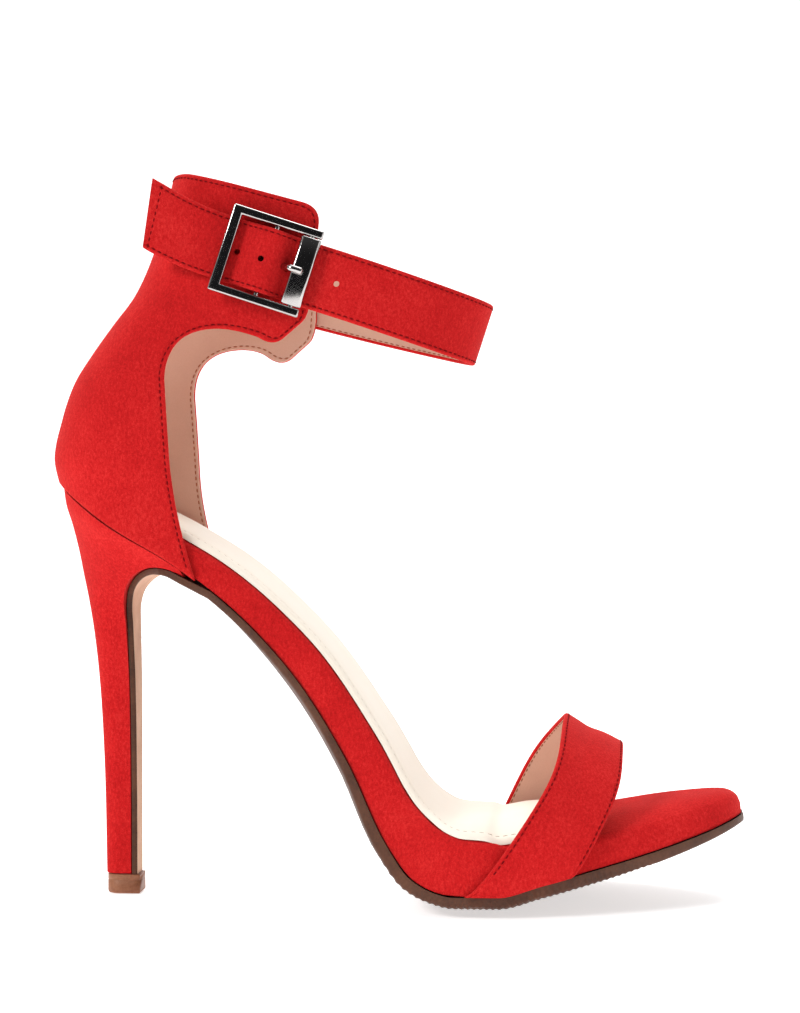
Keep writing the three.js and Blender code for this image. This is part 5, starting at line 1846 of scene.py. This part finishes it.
    def loop(self) -> bpy.types.Object:
        """The suede loop over the centre bar, with a gap for the prong."""
        seat = self.seat
        clear = seat.bar_radius + 0.3 + seat.loop_thick / 2
        foot = clear + 2.65
        low = 0.3 + seat.loop_thick / 2
        bend = np.linspace(0, np.pi, 25)
        line = [(foot, low), (foot - 1, low), (clear + 0.4, low + 0.02)]
        line += [(clear * math.cos(b), seat.bar_level + clear * math.sin(b)) for b in bend]
        line += [(-clear - 0.4, low + 0.02), (-foot + 1, low), (-foot, low)]
        curve = Spline(np.array([[a, n, 0] for a, n in line]))
        t = curve.even(0.3)
        p, way = curve.at(t), curve.way(t)
        out = np.stack([way[:, 1], -way[:, 0]], 1)
        width = 4.6
        band = Band(width, seat.loop_thick, 0.0)
        skin: Optional[Skin] = None
        for middle in (-4.0, 4.0):
            across = band.across + middle
            a = p[:, None, 0] + out[:, None, 0] * band.out[None]
            n = p[:, None, 1] + out[:, None, 1] * band.out[None]
            rings = seat.at(a, n, np.broadcast_to(across, a.shape))
            half = Skin.loft(rings)
            skin = half if skin is None else skin.joined(half)
        return self.bench.object("buckle_loop_suede", skin, [self.looks.suede], 60)

    def build(self) -> None:
        """Makes the buckle's pieces."""
        self.bench.hand_over(self.body(), "buckle", "buckle_frame")
        self.bench.hand_over(self.roller(), "buckle", "buckle_roller")
        self.bench.hand_over(self.prong(), "buckle", "buckle_prong")
        self.bench.hand_over(self.loop(), "suede", "buckle_tab")


# Studio


@dataclass(frozen=True)
class Lamp:
    """A soft area light."""

    name: str
    place: tuple[float, float, float]
    towards: tuple[float, float, float]
    size: tuple[float, float]
    power: float
    tint: tuple[float, float, float] = (1, 1, 1)

    def light(self) -> None:
        """Hangs the lamp."""
        data = bpy.data.lights.new(self.name, "AREA")
        data.shape = "RECTANGLE"
        data.size, data.size_y = self.size
        data.energy = self.power
        data.color = self.tint
        made = bpy.data.objects.new(self.name, data)
        made.location = self.place
        way = Vector(self.towards) - Vector(self.place)
        made.rotation_euler = way.to_track_quat("-Z", "Y").to_euler()
        bpy.context.scene.collection.objects.link(made)


@dataclass(frozen=True)
class Studio:
    """Pale floor that sweeps up behind, soft light, and the camera. Metres."""

    camera: tuple[float, float, float]
    azimuth: float = math.radians(4.5)
    pitch: float = math.radians(0.277)
    lens: float = 84.58
    world: float = 0.3
    glow: float = 0.62

    def sweep(self) -> None:
        """Floor and backdrop in one piece."""
        profile = [(-0.6, 0.0), (1.2, 0.0)]
        bend = 0.9
        for angle in np.linspace(0, math.pi / 2, 25):
            profile.append((1.2 + bend * math.sin(angle), bend - bend * math.cos(angle)))
        profile.append((2.1, 4.0))
        vertices = [(x, y, z - 0.0002) for x in (-5, 5) for y, z in profile]
        count = len(profile)
        faces = [(i, i + 1, count + i + 1, count + i) for i in range(count - 1)]
        mesh = bpy.data.meshes.new("studio_floor")
        mesh.from_pydata(vertices, [], faces)
        mesh.polygons.foreach_set("use_smooth", [True] * len(faces))
        paint = Paint(bpy.data.materials.new("pale_floor"))
        tone = paint.mix(paint.noise(3, 2, 0.5), colour(249, 249, 249), colour(251, 251, 251))
        mesh.materials.append(
            paint.finish(Base_Color=tone, Roughness=0.9, Emission_Color=tone, Emission_Strength=self.glow)
        )
        floor = bpy.data.objects.new("studio_floor", mesh)
        bpy.context.scene.collection.objects.link(floor)

    def sky(self) -> None:
        """Soft white light all round, with the dark room behind the camera that the metal mirrors."""
        world = bpy.data.worlds.new("studio_light")
        paint = Paint(world)
        way = paint.node("ShaderNodeTexCoord", output="Generated")
        depth = paint.node("ShaderNodeSeparateXYZ", None, {0: way}, "Y")
        dark, white = (0.05, 0.05, 0.055, 1.0), (1.0, 1.0, 1.0, 1.0)
        grey = (0.3, 0.3, 0.3, 1.0)
        tone = paint.ramp(depth * 0.5 + 0.5, (0.035, dark), (0.11, grey), (0.2, white))
        seen = paint.node("ShaderNodeLightPath", output="Is Camera Ray")
        full = 1 / self.world
        shown = paint.mix(seen, tone, (full, full, full, 1.0))
        inputs = {"Color": shown, "Strength": self.world}
        light = paint.node("ShaderNodeBackground", None, inputs, "Background")
        paint.close(light, "ShaderNodeOutputWorld")
        bpy.context.scene.world = world

    def build(self) -> None:
        """Sets the stage."""
        self.sweep()
        self.sky()
        Lamp("key", (-0.95, -1.0, 0.95), (0, 0, 0.1), (0.5, 0.5), 14).light()
        Lamp("top", (0.1, 0.25, 1.4), (0, 0, 0.1), (1.0, 0.7), 13).light()
        Lamp("side", (1.3, -0.4, 0.4), (0, 0, 0.08), (0.5, 0.8), 2.2).light()
        data = bpy.data.cameras.new("camera")
        data.lens = self.lens
        data.sensor_width = 36
        data.clip_start, data.clip_end = 0.05, 50
        made = bpy.data.objects.new("camera", data)
        made.location = self.camera
        made.rotation_euler = (math.pi / 2 - self.pitch, 0, self.azimuth)
        bpy.context.scene.collection.objects.link(made)
        bpy.context.scene.camera = made
        bpy.context.scene.view_settings.view_transform = "Standard"


def main() -> None:
    """Builds the sandal in order and sets the stage."""
    logging.basicConfig(level=logging.INFO, format="%(message)s")
    last = Last()
    tip_low, tip_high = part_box("heel_tip")
    front = last.back + SoleUnit.stem_front + Stiletto.tip_ledge
    shift = (tip_high.x * 1000 - front, (tip_low.y + tip_high.y) * 500, 0.0)
    bench = Bench(shift)
    looks = Wardrobe()
    sewing = Sewing(bench)
    sole = SoleUnit(last, bench, looks, sewing)
    sole.build()
    Stiletto(sole, bench, looks).build()
    cuff = CounterCuff(last, bench, looks, sewing)
    cuff.build()
    ToeStrap(last, bench, looks, sewing).build()
    seat = BuckleSeat(cuff)
    AnkleStrap(seat, bench, looks, sewing).build()
    Buckle(seat, bench, looks).build()
    Studio(camera=((53.35 + shift[0] - 1.5) / 1000, -0.6779, 0.1143)).build()
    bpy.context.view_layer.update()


if __name__ == "__main__":
    main()
